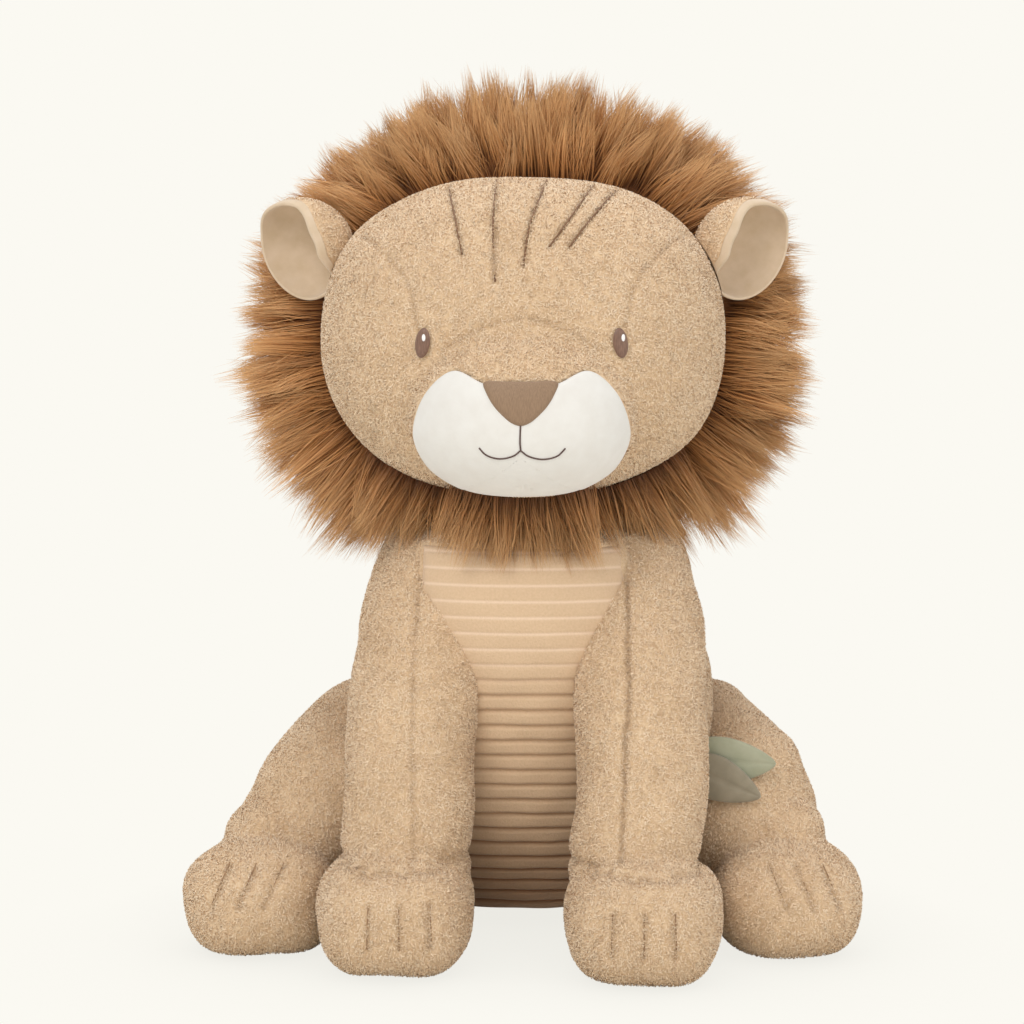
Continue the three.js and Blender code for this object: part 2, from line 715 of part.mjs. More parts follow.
function muzzleOutline() {
  const { halfWidth, top, bottom } = muzzle;
  const outShares = [0.62, 0.87, 1, 0.97, 0.8, 0.48, 0];
  const downShares = [0, 0.17, 0.48, 0.65, 0.86, 0.97, 1];
  const points = outShares.map((out, i) => onFace(halfWidth * out, top + (bottom - top) * downShares[i]));
  const noseCorner = onFace(nose.halfWidth - mouth.thread, nose.top);
  const half = new THREE.SplineCurve([noseCorner, ...points]).getPoints(14);
  const otherHalf = half.slice(0, -1).reverse();
  return [...half, ...otherHalf.map((p) => new THREE.Vector2(-p.x, p.y))];
}

function bridgeOutline() {
  const half = [
    onFace(0, bridge.top),
    onFace(bridge.halfWidth * 0.55, bridge.top * 0.55 + bridge.side * 0.2),
    onFace(bridge.halfWidth, bridge.side),
    onFace(bridge.halfWidth * 0.86, bridge.foot),
    onFace(0, bridge.foot - nose.height / 4),
  ];
  const otherHalf = half.slice(1, -1).reverse();
  return [...half, ...otherHalf.map((p) => new THREE.Vector2(-p.x, p.y))];
}

function noseOutline() {
  const { halfWidth, top, height } = nose;
  const shape = new THREE.Shape();
  const corner = onFace(halfWidth, top);
  const tip = onFace(0, top - height);
  const bend = onFace(halfWidth * 0.55, top - height * 0.95);
  shape.moveTo(-corner.x, corner.y);
  shape.quadraticCurveTo(-bend.x, bend.y, tip.x, tip.y);
  shape.quadraticCurveTo(bend.x, bend.y, corner.x, corner.y);
  shape.closePath();
  return shape;
}

function facePieces(inside, room) {
  const shell = headForm().subtract(inside).subtract(room);
  const inFront = aheadOf(headAt[1] + mane.seamBehind - gap / 2);
  const muzzlePoints = muzzleOutline();
  const bridgePoints = bridgeOutline();
  const muzzleRoom = facePrism(grown(muzzlePoints, gap));
  const face = shell.intersect(inFront).subtract(muzzleRoom).subtract(facePrism(grown(bridgePoints, gap)));
  const bridgePanel = shell.intersect(facePrism(new THREE.Shape(bridgePoints))).subtract(muzzleRoom);
  const muzzlePanel = shell.intersect(facePrism(new THREE.Shape(muzzlePoints)));
  return [
    piece("face_skin", face, coat),
    piece("snout_bridge", bridgePanel, coat),
    piece("muzzle_panel", muzzlePanel, cream),
    piece("nose_patch", raised(headForm, facePrism(noseOutline()), nose.raise), brown),
    piece("mouth_stitch", mouthStitch(), thread),
    ...["left", "right"].flatMap(eyePieces),
    ...tuckTopShares.map(foreheadTuck),
  ];
}

function mouthStitch() {
  const top = nose.top - nose.height - 2 * gap;
  const joint = top - mouth.stem;
  const stem = stitchLine([[0, headAt[2] + top], [0, headAt[2] + joint]], mouth.thread, 2);
  let tool = facePrism(stem);
  for (const way of [-1, 1]) {
    const middle = onFace((way * mouth.smileHalfWidth) / 2, joint - mouth.dip);
    const end = onFace(way * mouth.smileHalfWidth, joint + mouth.rise);
    const arc = [onFace(0, joint), middle, end].map((p) => p.toArray());
    tool = tool.add(facePrism(stitchLine(arc, mouth.thread, 5)));
  }
  return raised(headForm, tool, mouth.raise);
}

function eyePieces(side) {
  const at = onFace(eye.out, eye.rise);
  const patch = facePrism(oval(at.x, at.y, eye.halfWidth, eye.halfHeight));
  const spot = oval(at.x - glint.inward, at.y + glint.rise, glint.halfWidth, glint.halfHeight);
  const eyeBody = raised(headForm, patch, eye.raise);
  const glintBody = raised(headForm, facePrism(spot), glint.raise, eye.raise + 2 * gap);
  return [
    piece(`eye_${side}`, ofSide(eyeBody, side), thread),
    piece(`eye_${side}_glint`, ofSide(glintBody, side), white),
  ];
}

function foreheadTuck(topShare, i) {
  const foot = tuck.top - head.halfHeight * tuckLengthShares[i];
  const ends = [
    onFace(head.halfWidth * topShare, tuck.top),
    onFace(head.halfWidth * tuckFootShares[i], foot),
  ];
  const middle = ends[0].clone().lerp(ends[1], 0.5);
  const line = [ends[0], middle, ends[1]].map((p) => p.toArray());
  const tool = facePrism(stitchLine(line, tuck.thread, 2), headAt[1]);
  return piece(`forehead_tuck_${i + 1}`, raised(headForm, tool, tuck.raise), stitching);
}

// Ears, for the left side

const earAt = [ear.out, headAt[1], headAt[2] + ear.above];
const earWay = new THREE.Vector2(ear.out, ear.above).normalize();
const headEdge = reachOf([earWay.x / head.halfWidth, earWay.y / head.halfHeight], head.square);
const earPivot = [earWay.x * headEdge, headAt[1], headAt[2] + earWay.y * headEdge];
const earAxis = [-earWay.y, 0, earWay.x];

function earForm(inset = 0, fine = 0.6) {
  const half = [ear.radius, ear.halfDepth, ear.radius];
  return plump({ at: earAt, half, square: 2 }, inset, fine);
}

function earPieces(side) {
  const opening = block([-beyond, -beyond, -beyond], [beyond, 0, beyond])
    .rotate([ear.hoodTilt, 0, ear.hoodTurn])
    .translate(earAt);
  const [back, ahead] = earFold;
  const headPassing = headForm(-gap).add(swept(headForm(-gap * 2), earPivot, earAxis, -ahead, -back));
  const cup = earForm().subtract(earForm(pile)).subtract(opening).subtract(headPassing);
  const inner = earForm(pile + gap)
    .subtract(earForm(pile + gap + velour))
    .subtract(opening)
    .subtract(headPassing);
  return [
    piece(`ear_${side}`, ofSide(cup, side), coat),
    piece(`ear_${side}_lining`, ofSide(inner, side), lining),
  ];
}

function manePieces(inside, room) {
  const round = {
    at: [0, headAt[1] + mane.behind, headAt[2] + mane.above],
    half: [mane.halfWidth, mane.halfDepth, mane.halfHeight],
    square: mane.square,
    squareBelow: mane.squareBelow,
  };
  const underChin = {
    at: [0, headAt[1] - chinFur.ahead, headAt[2] - chinFur.drop],
    half: [chinFur.halfWidth, chinFur.halfDepth, chinFur.halfHeight],
    square: chinFur.square,
  };
  const form = plump(round, 0, furFine).add(plump(underChin, 0, coarse));
  const earPassing = swept(earForm(-facetSlack), earPivot, earAxis, ...earFold);
  const whole = form.subtract(room).subtract(earPassing).subtract(mirrorX(earPassing));
  const seam = headAt[1] + mane.seamBehind;
  const ruff = whole.intersect(aheadOf(seam - gap / 2)).subtract(headForm(-gap));
  const back = whole.subtract(aheadOf(seam + gap / 2)).subtract(inside);
  return [piece("mane_ruff", ruff, fur), piece("mane_back", back, fur)];
}

function headPieces() {
  const inside = headForm(pile, coarse);
  let room = shouldersPassing().add(torsoRoom);
  for (const side of ["left", "right"]) room = room.add(ofSide(forelegForm(strideOf[side], -gap), side));
  const filling = headForm(pile + gap, coarse).subtract(room);
  return [
    ...facePieces(inside, room),
    ...manePieces(inside, room),
    piece("head_fill", filling, fibre),
    ...["left", "right"].flatMap(earPieces),
  ];
}

const lion = new THREE.Group();
lion.add(...torsoPieces());
lion.add(piece("neck_fill", neckBall(), fibre));
lion.add(...headPieces());
for (const side of ["left", "right"]) {
  lion.add(...frontLegPieces(side));
  lion.add(...hindLegPieces(side));
}
lion.add(...tailPieces());

export default lion;
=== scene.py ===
"""The looks of a large seated plush lion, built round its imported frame.

Lengths in this script are in millimetres, in the part's frame: +Z up, the lion looks along -Y, and its left
is +X. They become metres where a mesh is made. Each body of the toy is a smooth stuffed form, pressed flat
where it meets its neighbours, with sewn lines sunk into it and a cover of short looped pile. The mane is
made of tapered strands in locks. Every random choice is seeded.
"""

import math

import bpy
import numpy as np
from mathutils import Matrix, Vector
from mathutils.bvhtree import BVHTree
from mathutils.kdtree import KDTree


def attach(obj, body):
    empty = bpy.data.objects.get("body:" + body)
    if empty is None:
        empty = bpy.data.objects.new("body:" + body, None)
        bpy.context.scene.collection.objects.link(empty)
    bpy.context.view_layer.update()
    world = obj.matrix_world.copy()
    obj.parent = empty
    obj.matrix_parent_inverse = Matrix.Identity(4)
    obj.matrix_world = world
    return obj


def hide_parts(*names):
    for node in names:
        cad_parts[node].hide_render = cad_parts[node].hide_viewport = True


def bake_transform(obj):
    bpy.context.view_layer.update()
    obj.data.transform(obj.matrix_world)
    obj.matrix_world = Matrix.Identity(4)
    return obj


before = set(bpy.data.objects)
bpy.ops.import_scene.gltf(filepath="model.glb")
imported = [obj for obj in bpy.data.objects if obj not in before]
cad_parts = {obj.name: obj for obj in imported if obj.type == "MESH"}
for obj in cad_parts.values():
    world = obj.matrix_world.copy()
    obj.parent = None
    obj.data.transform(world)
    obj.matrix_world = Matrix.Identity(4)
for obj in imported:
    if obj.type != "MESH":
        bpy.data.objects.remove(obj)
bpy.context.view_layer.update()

MM = 0.001
SIDES = {"left": 1, "right": -1}

# Forms of the stuffed bodies, as in the part's source
TORSO = {
    "height": 272, "half_width": 92, "half_depth": 88, "pressed": 18, "belly": 84,
    "seat_share": 0.86, "shoulder_share": 0.92, "lean": 72, "square": 2.3, "dome_square": 3.6,
}
NECK_RADIUS = 46
HEAD_AT = np.array([0.0, -98.0, 367.0])
HEAD_HALF = (123, 98, 95)
HEAD_SQUARE = 2.35
SNOUT_AT = HEAD_AT + (0, -63, -43)
SNOUT_HALF = (67, 62, 50)
SNOUT_SQUARE = 2.15
MANE_AT = HEAD_AT + (0, 52, 13)
FORELEG_SPINE_DOWN = (0, 0.16, 0.4, 0.66, 0.9, 1)
STRIDE = {"left": 8, "right": -8}
IN_FRONT = -600  # rays towards the lion's front start here
EAR = {"radius": 31, "half_depth": 21, "out": 134, "above": 52, "turn": 30, "tilt": 12}
FLOOR = 0.0
TOUCH = 0.4  # between bodies that press on each other
UNDER = 3.5  # cloth that another piece covers goes this far beneath it
PRESSED = 2.5  # skin that was moved further than this lies hidden, and has no pile

# Colours, as sRGB
TAN_LIGHT = (243, 221, 192)
TAN = (231, 204, 170)
TAN_DARK = (211, 179, 141)
# Painted shade in the creases of seams, tucks and ankles, where the cloth is drawn in
TAN_SEAM_SHADE = (150, 112, 76)
RIB_LINE = (246, 220, 196)
# Painted shade on the ribbed chest: in its grooves, and deepening towards its bottom between the front legs
RIB_GROOVE_SHADE = (150, 110, 76)
RIB_LOW_SHADE = (112, 70, 38)
# The strands darken towards their roots: partly the fur's own colour, partly painted shade deep among the
# locks
HAIR_ROOT = (120, 72, 34)
HAIR = (190, 134, 79)
HAIR_TIP = (212, 168, 116)
BACKDROP = (251, 249, 242)

# The darker and the lighter grain of each cloth and thread
RIB = (210, 180, 146), (218, 188, 155)
CREAM = (223, 219, 212), (228, 225, 219)
LINING = (203, 180, 150), (214, 192, 166)
NOSE = (133, 106, 82), (150, 122, 95)
EYE = (106, 78, 64), (136, 104, 86)
TUCK = (112, 78, 50), (134, 98, 66)
TOE = (146, 112, 80), (166, 131, 97)
MOUTH = (78, 56, 50), (92, 68, 62)
GLINT = (236, 232, 230), (252, 250, 248)
SAGE_UPPER = (157, 158, 133), (170, 170, 146)
SAGE_LOWER = (139, 130, 110), (154, 144, 124)
MANE_CLOTH = HAIR_ROOT, (120, 76, 42)


# Arrays, curves and meshes


def unit(v):
    return v / np.maximum(np.linalg.norm(v, axis=-1, keepdims=True), 1e-9)


def ease(value, low, high):
    share = np.clip((value - low) / (high - low), 0, 1)
    return share * share * (3 - 2 * share)


def linear(srgb):
    share = np.array(srgb, float) / 255
    return tuple(np.where(share <= 0.04045, share / 12.92, ((share + 0.055) / 1.055) ** 2.4)) + (1.0,)


def reach_of(way, square):
    """How far a superellipsoid with half axes of 1 reaches in each direction."""
    power = np.broadcast_to(np.asarray(square, float), way.shape[:-1])[..., None]
    return (np.abs(way) ** power).sum(-1, keepdims=True) ** (-1 / power)


def full_turn(count):
    return np.linspace(0, 2 * np.pi, count, endpoint=False)


def quads_of(at, closed=True):
    """The faces between the rows of a grid of point numbers."""
    nxt = np.roll(at, -1, axis=1)
    quads = np.stack([at[:-1], nxt[:-1], nxt[1:], at[1:]], -1)
    return (quads if closed else quads[:, :-1]).reshape(-1, 4)


def grid_of(rows, columns, first=0):
    return first + np.arange(rows * columns).reshape(rows, columns)


def loft(rings):
    """Rings of points as one closed skin. The first and the last ring are single points."""
    levels, sides = rings.shape[:2]
    verts = np.vstack([rings[0, :1], rings[1:-1].reshape(-1, 3), rings[-1, :1]])
    at = grid_of(levels - 2, sides, 1)
    nxt = np.roll(at, -1, axis=1)
    low = [[0, b, a] for a, b in zip(at[0], nxt[0])]
    high = [[len(verts) - 1, a, b] for a, b in zip(at[-1], nxt[-1])]
    return verts, quads_of(at).tolist() + low + high


def plump(at, half, square, square_below=None, sides=120, levels=80):
    """A superellipsoid, squarer or rounder below than above."""
    below = square if square_below is None else square_below
    rise = np.linspace(0, np.pi, levels + 1)[:, None]
    turn = full_turn(sides)[None]
    way = np.stack(
        [np.sin(rise) * np.cos(turn), np.sin(rise) * np.sin(turn), -np.cos(rise) + 0 * turn], -1
    )
    power = (square + below + (square - below) * way[..., 2]) / 2
    return loft(np.asarray(at) + way * reach_of(way, power) * np.asarray(half, float))


def torso_rings(z, sides, inset=0.0):
    """The torso's level sections at heights z."""
    tall = TORSO["height"] + TORSO["pressed"]
    rise = (z + TORSO["pressed"]) / tall
    widest = (TORSO["belly"] + TORSO["pressed"]) / tall
    low_taper = 1 - (1 - TORSO["seat_share"]) * (1 - rise / widest) ** 2
    high_taper = 1 - (1 - TORSO["shoulder_share"]) * ((rise - widest) / (1 - widest)) ** 2
    taper = np.where(rise < widest, low_taper, high_taper)
    lean = -TORSO["lean"] * rise * rise * (3 - 2 * rise)
    dome = np.clip(1 - np.abs(2 * rise - 1) ** TORSO["dome_square"], 0, 1) ** (1 / TORSO["dome_square"])
    turn = full_turn(sides)
    way = np.stack([np.cos(turn), np.sin(turn)], -1)
    way = way * reach_of(way, TORSO["square"])
    x = way[None, :, 0] * ((TORSO["half_width"] * taper - inset) * dome)[:, None]
    y = lean[:, None] + way[None, :, 1] * ((TORSO["half_depth"] * taper - inset) * dome)[:, None]
    return np.stack([x, y, np.broadcast_to(z[:, None], x.shape)], -1)


def torso_form(sides=200, levels=160):
    along = (1 - np.cos(np.linspace(0, np.pi, levels + 1))) / 2
    return loft(torso_rings(-TORSO["pressed"] + (TORSO["height"] + TORSO["pressed"]) * along, sides))


def smooth_curve(points, count):
    """A centripetal Catmull-Rom curve through points, at even steps."""
    p = np.asarray(points, float)
    p = np.vstack([2 * p[0] - p[1], p, 2 * p[-1] - p[-2]])
    t = np.linspace(0, 1, 40)[:, None]
    out = []
    for a, b, c, d in zip(p, p[1:], p[2:], p[3:]):
        ab, bc, cd = (max(np.linalg.norm(w - v), 1e-6) ** 0.5 for v, w in ((a, b), (b, c), (c, d)))
        leave = ((b - a) / ab - (c - a) / (ab + bc) + (c - b) / bc) * bc
        arrive = ((c - b) / bc - (d - b) / (bc + cd) + (d - c) / cd) * bc
        square, cubic = 3 * (c - b) - 2 * leave - arrive, 2 * (b - c) + leave + arrive
        out.append(b + leave * t + square * t**2 + cubic * t**3)
    dense = np.vstack(out)
    far = np.concatenate([[0], np.cumsum(np.linalg.norm(np.diff(dense, axis=0), axis=1))])
    even = np.linspace(0, far[-1], count)
    return np.stack([np.interp(even, far, column) for column in dense.T], -1)


def limb(spine, widths, depths, side, cap, sides=96, steps=140):
    """A stuffed limb along a curve, with round caps. Widths lie along side, and depths square to it."""
    line = smooth_curve(spine, 400)
    length = np.linalg.norm(np.diff(line, axis=0), axis=1).sum()
    share = (1 - np.cos(np.linspace(0, np.pi, steps + 1))) / 2
    into = np.clip(np.minimum(share, 1 - share) * length / cap, 0, 1)
    round_off = np.sqrt(1 - (1 - into) ** 2)

    def along(values):
        place = share * (len(values) - 1)
        return np.stack([np.interp(place, np.arange(len(values)), column) for column in values.T], -1)

    def eased(values):
        v = np.asarray(values, float)
        spot = share * (len(v) - 1)
        low = np.minimum(spot.astype(int), len(v) - 2)
        return (v[low] + (v[low + 1] - v[low]) * ease(spot - low, 0, 1)) * round_off

    ahead = along(unit(np.gradient(line, axis=0)))
    side = np.asarray(side, float)
    across = unit(side - ahead * (ahead @ side)[:, None])
    deep = np.cross(ahead, across)
    turn = full_turn(sides)[None]
    return loft(
        along(line)[:, None]
        + across[:, None] * (np.cos(turn) * eased(widths)[:, None])[..., None]
        + deep[:, None] * (np.sin(turn) * eased(depths)[:, None])[..., None]
    )


def new_mesh(name, verts, faces):
    mesh = bpy.data.meshes.new(name)
    mesh.from_pydata((np.asarray(verts) * MM).tolist(), [], faces)
    mesh.update()
    mesh.shade_smooth()
    return mesh


def linked(name, data):
    obj = bpy.data.objects.new(name, data)
    bpy.context.scene.collection.objects.link(obj)
    return obj


def new_object(name, verts, faces, material):
    obj = linked(name, new_mesh(name, verts, faces))
    obj.data.materials.append(material)
    return obj


def set_values(obj, key, values):
    """Gives each point of a mesh a value that its material reads."""
    layer = obj.data.attributes.new(key, "FLOAT", "POINT")
    layer.data.foreach_set("value", values.astype(np.float32))


def dress(obj, body, slot, *replaced, fill=None):
    """Attaches a piece to the body that it rides, and hides the nodes that it replaces. Its slot and fill are
    not used.
    """
    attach(obj, body)
    if replaced:
        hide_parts(*replaced)


def welded(parts, voxel):
    """Overlapping closed skins as one even skin: its points and its quads."""
    verts, faces, base = [], [], 0
    for part_verts, part_faces in parts:
        verts.append(part_verts)
        faces += [[base + i for i in face] for face in part_faces]
        base += len(part_verts)
    obj = linked("weld", new_mesh("weld", np.vstack(verts), faces))
    remesh = obj.modifiers.new("weld", "REMESH")
    remesh.mode = "VOXEL"
    remesh.voxel_size = voxel * MM
    made = obj.evaluated_get(bpy.context.evaluated_depsgraph_get()).to_mesh()
    co = np.empty(len(made.vertices) * 3, np.float32)
    made.vertices.foreach_get("co", co)
    corners = np.empty(len(made.loops), np.int32)
    made.loops.foreach_get("vertex_index", corners)
    bpy.data.objects.remove(obj)
    return co.reshape(-1, 3).astype(float) / MM, corners.reshape(-1, 4)


def relax(verts, quads, times, hold=None):
    """Evens out a skin without shrinking it. Points where hold is 1 stay."""
    a = quads.ravel()
    b = np.roll(quads, -1, axis=1).ravel()
    ends, others = np.concatenate([a, b]), np.concatenate([b, a])
    count = np.maximum(np.bincount(ends, minlength=len(verts)), 1)[:, None]
    free = 1.0 if hold is None else (1 - hold)[:, None]
    out = verts.copy()
    for step in range(times * 2):
        mean = np.stack([np.bincount(ends, out[others, k], len(verts)) for k in range(3)], -1) / count
        out += (mean - out) * (0.6 if step % 2 == 0 else -0.62) * free
    return out


def normals_of(verts, quads):
    corner = verts[quads]
    face = np.cross(corner[:, 2] - corner[:, 0], corner[:, 3] - corner[:, 1])
    total = np.zeros_like(verts)
    for k in range(4):
        for axis in range(3):
            total[:, axis] += np.bincount(quads[:, k], face[:, axis], len(verts))
    return unit(total)


def tree_of(verts, faces):
    return BVHTree.FromPolygons(verts.tolist(), [list(map(int, f)) for f in faces])


def press(verts, tree, clearance, reach=60):
    """Moves the points that lie inside a neighbour out onto its surface."""
    out = verts.copy()
    for i, v in enumerate(verts):
        at, normal, _, _ = tree.find_nearest(Vector(v), reach)
        if at is not None and (Vector(v) - at).dot(normal) < clearance:
            out[i] = at + normal * clearance
    return out


def seated(verts, tree):
    """A limb's points pressed against its neighbour: what lay deep inside it goes just under its cloth.
    Also gives how far each point was moved."""
    out = press(verts, tree, TOUCH)
    moved = np.linalg.norm(out - verts, axis=1)
    depth = UNDER * ease(moved, 1.5, 7)
    for i in np.flatnonzero(depth > 0):
        normal = tree.find_nearest(Vector(out[i]))[1]
        out[i] = out[i] - np.array(normal) * depth[i]
    return out, moved


def lumps(points, scale, seed):
    """Smooth pseudo-random values from -1 to 1, with features about scale wide."""
    rng = np.random.default_rng(seed)
    total = np.zeros(len(points))
    for _ in range(9):
        way = unit(rng.normal(size=3)) * 2 * np.pi / scale * rng.uniform(0.6, 1.4)
        total += np.sin(points @ way + rng.uniform(0, 2 * np.pi))
    return total / 3.2


def distance_to(verts, lines, step=1.0, reach=12.0):
    """The distance of each point from the nearest of several lines of points, up to about reach."""
    dense = []
    for line in lines:
        far = np.linalg.norm(np.diff(line, axis=0), axis=1).sum()
        dense.append(smooth_curve(line, max(int(far / step), 4)))
    dense = np.vstack(dense)
    tree = KDTree(len(dense))
    for i, p in enumerate(dense):
        tree.insert(p, i)
    tree.balance()
    near = ((verts > dense.min(0) - reach) & (verts < dense.max(0) + reach)).all(1)
    far = np.full(len(verts), reach)
    far[near] = [tree.find(v)[2] for v in verts[near]]
    return far


def sunk(verts, quads, lines, depth, width):
    """A skin with sewn lines pulled into it."""
    far = distance_to(verts, lines)
    return verts - normals_of(verts, quads) * (depth * np.exp(-((far / width) ** 2)))[:, None]


def on_cloth(lines, verts, quads):
    """Lines of points moved to the nearest places on a skin."""
    tree = tree_of(verts, quads)
    return [np.array([tree.find_nearest(Vector(p))[0] for p in smooth_curve(line, 40)]) for line in lines]


# Materials


def add_node(tree, kind, inputs=(), **settings):
    """A node with its settings, and with its inputs set or joined."""
    node = tree.nodes.new(kind)
    for key, value in settings.items():
        setattr(node, key, value)
    for key, value in dict(inputs).items():
        if isinstance(value, bpy.types.NodeSocket):
            tree.links.new(value, node.inputs[key])
        else:
            node.inputs[key].default_value = value
    return node


class Nodes:
    """A small helper that adds and joins shader nodes."""

    def __init__(self, name):
        self.material = bpy.data.materials.new(name)
        self.material.use_nodes = True
        self.tree = self.material.node_tree
        self.shader = self.tree.nodes["Principled BSDF"]

    def add(self, kind, inputs=(), **settings):
        return add_node(self.tree, kind, inputs, **settings)

    def attribute(self, name):
        return self.add("ShaderNodeAttribute", attribute_name=name).outputs["Fac"]

    def each_piece(self):
        return self.add("ShaderNodeNewGeometry").outputs["Random Per Island"]

    def math(self, operation, a, b):
        return self.add("ShaderNodeMath", {0: a, 1: b}, operation=operation).outputs[0]

    def mix(self, share, low, high):
        inputs = {"Fac": share, "Color1": low, "Color2": linear(high)}
        return self.add("ShaderNodeMixRGB", inputs).outputs["Color"]

    def ramp(self, factor, stops):
        node = self.add("ShaderNodeValToRGB", {"Fac": factor})
        ramp = node.color_ramp
        while len(ramp.elements) < len(stops):
            ramp.elements.new(0.5)
        for element, (place, colour) in zip(ramp.elements, stops):
            element.position = place
            element.color = linear(colour)
        return node.outputs["Color"]

    def grain(self, factor, tones):
        return self.ramp(factor, list(zip((0.3, 0.7), tones)))

    def noise(self, size, detail=3.0, stretch=(1, 1, 1)):
        """Noise with features about size millimetres wide, in the object's own space."""
        where = self.add("ShaderNodeTexCoord").outputs["Object"]
        scaled = self.add("ShaderNodeMapping", {"Vector": where, "Scale": stretch})
        inputs = {"Vector": scaled.outputs["Vector"], "Scale": 1 / (size * MM), "Detail": detail}
        return self.add("ShaderNodeTexNoise", inputs).outputs["Fac"]

    def sewn(self, colour):
        """A colour darkened by painted shade where the cloth is drawn in along a seam."""
        return self.mix(self.attribute("seam"), colour, TAN_SEAM_SHADE)

    def bump(self, height, strength, distance):
        inputs = {"Height": height, "Strength": strength, "Distance": distance * MM}
        normal = self.add("ShaderNodeBump", inputs).outputs["Normal"]
        self.tree.links.new(normal, self.shader.inputs["Normal"])

    def finished(self, colour, roughness, sheen, specular):
        self.tree.links.new(colour, self.shader.inputs["Base Color"])
        self.shader.inputs["Roughness"].default_value = roughness
        self.shader.inputs["Sheen Weight"].default_value = sheen
        self.shader.inputs["Sheen Roughness"].default_value = 0.5
        self.shader.inputs["Specular IOR Level"].default_value = specular
        return self.material


def backing_material():
    n = Nodes("looped_backing")
    n.bump(n.noise(1.1), 0.8, 1.0)
    return n.finished(n.sewn(n.grain(n.noise(1.6), (TAN_DARK, TAN))), 0.95, 0.2, 0.1)


def pile_material():
    n = Nodes("looped_pile")
    half = n.math("MULTIPLY", n.math("ADD", n.each_piece(), n.noise(28, 2)), 0.5)
    tan = n.ramp(half, [(0.2, TAN_DARK), (0.42, TAN), (0.75, TAN_LIGHT)])
    return n.finished(n.sewn(tan), 0.9, 0.35, 0.15)


def velour_material(name, tones):
    n = Nodes(name)
    n.bump(n.noise(0.9), 0.25, 0.3)
    return n.finished(n.grain(n.noise(9, 4), tones), 0.85, 0.4, 0.15)


def rib_material():
    n = Nodes("ribbed")
    grain = n.noise(1.2, 4)
    colour = n.grain(grain, RIB)
    # line: the ribs' own pale lines; groove and low: painted shade in the grooves and towards the chest's
    # bottom
    for key, tone in (("line", RIB_LINE), ("groove", RIB_GROOVE_SHADE), ("low", RIB_LOW_SHADE)):
        colour = n.mix(n.attribute(key), colour, tone)
    n.bump(grain, 0.6, 0.7)
    return n.finished(colour, 0.9, 0.35, 0.15)


def thread_material(name, tones, roughness=0.55):
    n = Nodes(name)
    grain = n.noise(0.45, 2, (1, 1, 0.12))
    n.bump(grain, 0.5, 0.4)
    return n.finished(n.grain(grain, tones), roughness, 0.1, 0.4)


def hair_material():
    n = Nodes("long_pile")
    # darker at the root: partly the fur's own colour, partly painted shade among the locks
    shade = n.ramp(n.attribute("along"), [(0.0, HAIR_ROOT), (0.45, HAIR), (1.0, HAIR_TIP)])
    # lock: each lock's random tone, with painted shade under the chin and painted light on the lion's right
    vary = n.math("ADD", n.attribute("lock"), n.each_piece())
    limits = {"Value": vary, "From Max": 2.0, "To Min": 0.76, "To Max": 1.22}
    inputs = {"Color": shade, "Value": n.add("ShaderNodeMapRange", limits).outputs[0]}
    return n.finished(n.add("ShaderNodeHueSaturation", inputs).outputs["Color"], 0.5, 0.15, 0.35)


BACKING = backing_material()
PILE = pile_material()
RIBBED = rib_material()
MUZZLE = velour_material("muzzle_velour", CREAM)
EAR_LINING = velour_material("lining_velour", LINING)
SATIN = thread_material("nose_satin", NOSE)
EYE_SATIN = thread_material("eye_satin", EYE, roughness=0.35)
TUCK_THREAD = thread_material("tuck_thread", TUCK)
TOE_THREAD = thread_material("toe_thread", TOE)
DARK_THREAD = thread_material("mouth_thread", MOUTH)
WHITE_THREAD = thread_material("glint_thread", GLINT)
LEAF_UPPER = velour_material("sage_velour_upper", SAGE_UPPER)
LEAF_LOWER = velour_material("sage_velour_lower", SAGE_LOWER)
HAIR_CLOTH = velour_material("mane_backing", MANE_CLOTH)
HAIR_STRAND = hair_material()


# Pile and hair


def scattered(verts, quads, per_mm2, rng):
    """Random points on a skin, with their normals."""
    corner = verts[quads]
    area = 0.5 * np.linalg.norm(np.cross(corner[:, 2] - corner[:, 0], corner[:, 3] - corner[:, 1]), axis=1)
    count = int(area.sum() * per_mm2)
    face = rng.choice(len(quads), count, p=area / area.sum())
    u, v = rng.random((2, count, 1))

    def between(c):
        return c[:, 0] * (1 - u) * (1 - v) + c[:, 1] * u * (1 - v) + c[:, 2] * u * v + c[:, 3] * (1 - u) * v

    return between(corner[face]), unit(between(normals_of(verts, quads)[quads[face]]))


def ribbons(name, centres, across, material, values):
    """Narrow ribbons as one mesh: centres and half widths are arrays of ribbon, station, axis."""
    count, stations = centres.shape[:2]
    verts = np.stack([centres - across, centres + across], 2).reshape(-1, 3)
    first = (np.arange(count) * stations * 2)[:, None] + (np.arange(stations - 1) * 2)[None]
    quads = np.stack([first, first + 1, first + 3, first + 2], -1).reshape(-1, 4)
    mesh = bpy.data.meshes.new(name)
    mesh.vertices.add(len(verts))
    mesh.vertices.foreach_set("co", (verts * MM).astype(np.float32).ravel())
    mesh.loops.add(quads.size)
    mesh.loops.foreach_set("vertex_index", quads.astype(np.int32).ravel())
    mesh.polygons.add(len(quads))
    mesh.polygons.foreach_set("loop_start", np.arange(0, quads.size, 4, dtype=np.int32))
    mesh.update(calc_edges=True)
    mesh.shade_smooth()
    mesh.materials.append(material)
    obj = linked(name, mesh)
    for key, value in values.items():
        set_values(obj, key, np.repeat(np.broadcast_to(value, (count, stations)).reshape(-1), 2))
    return obj


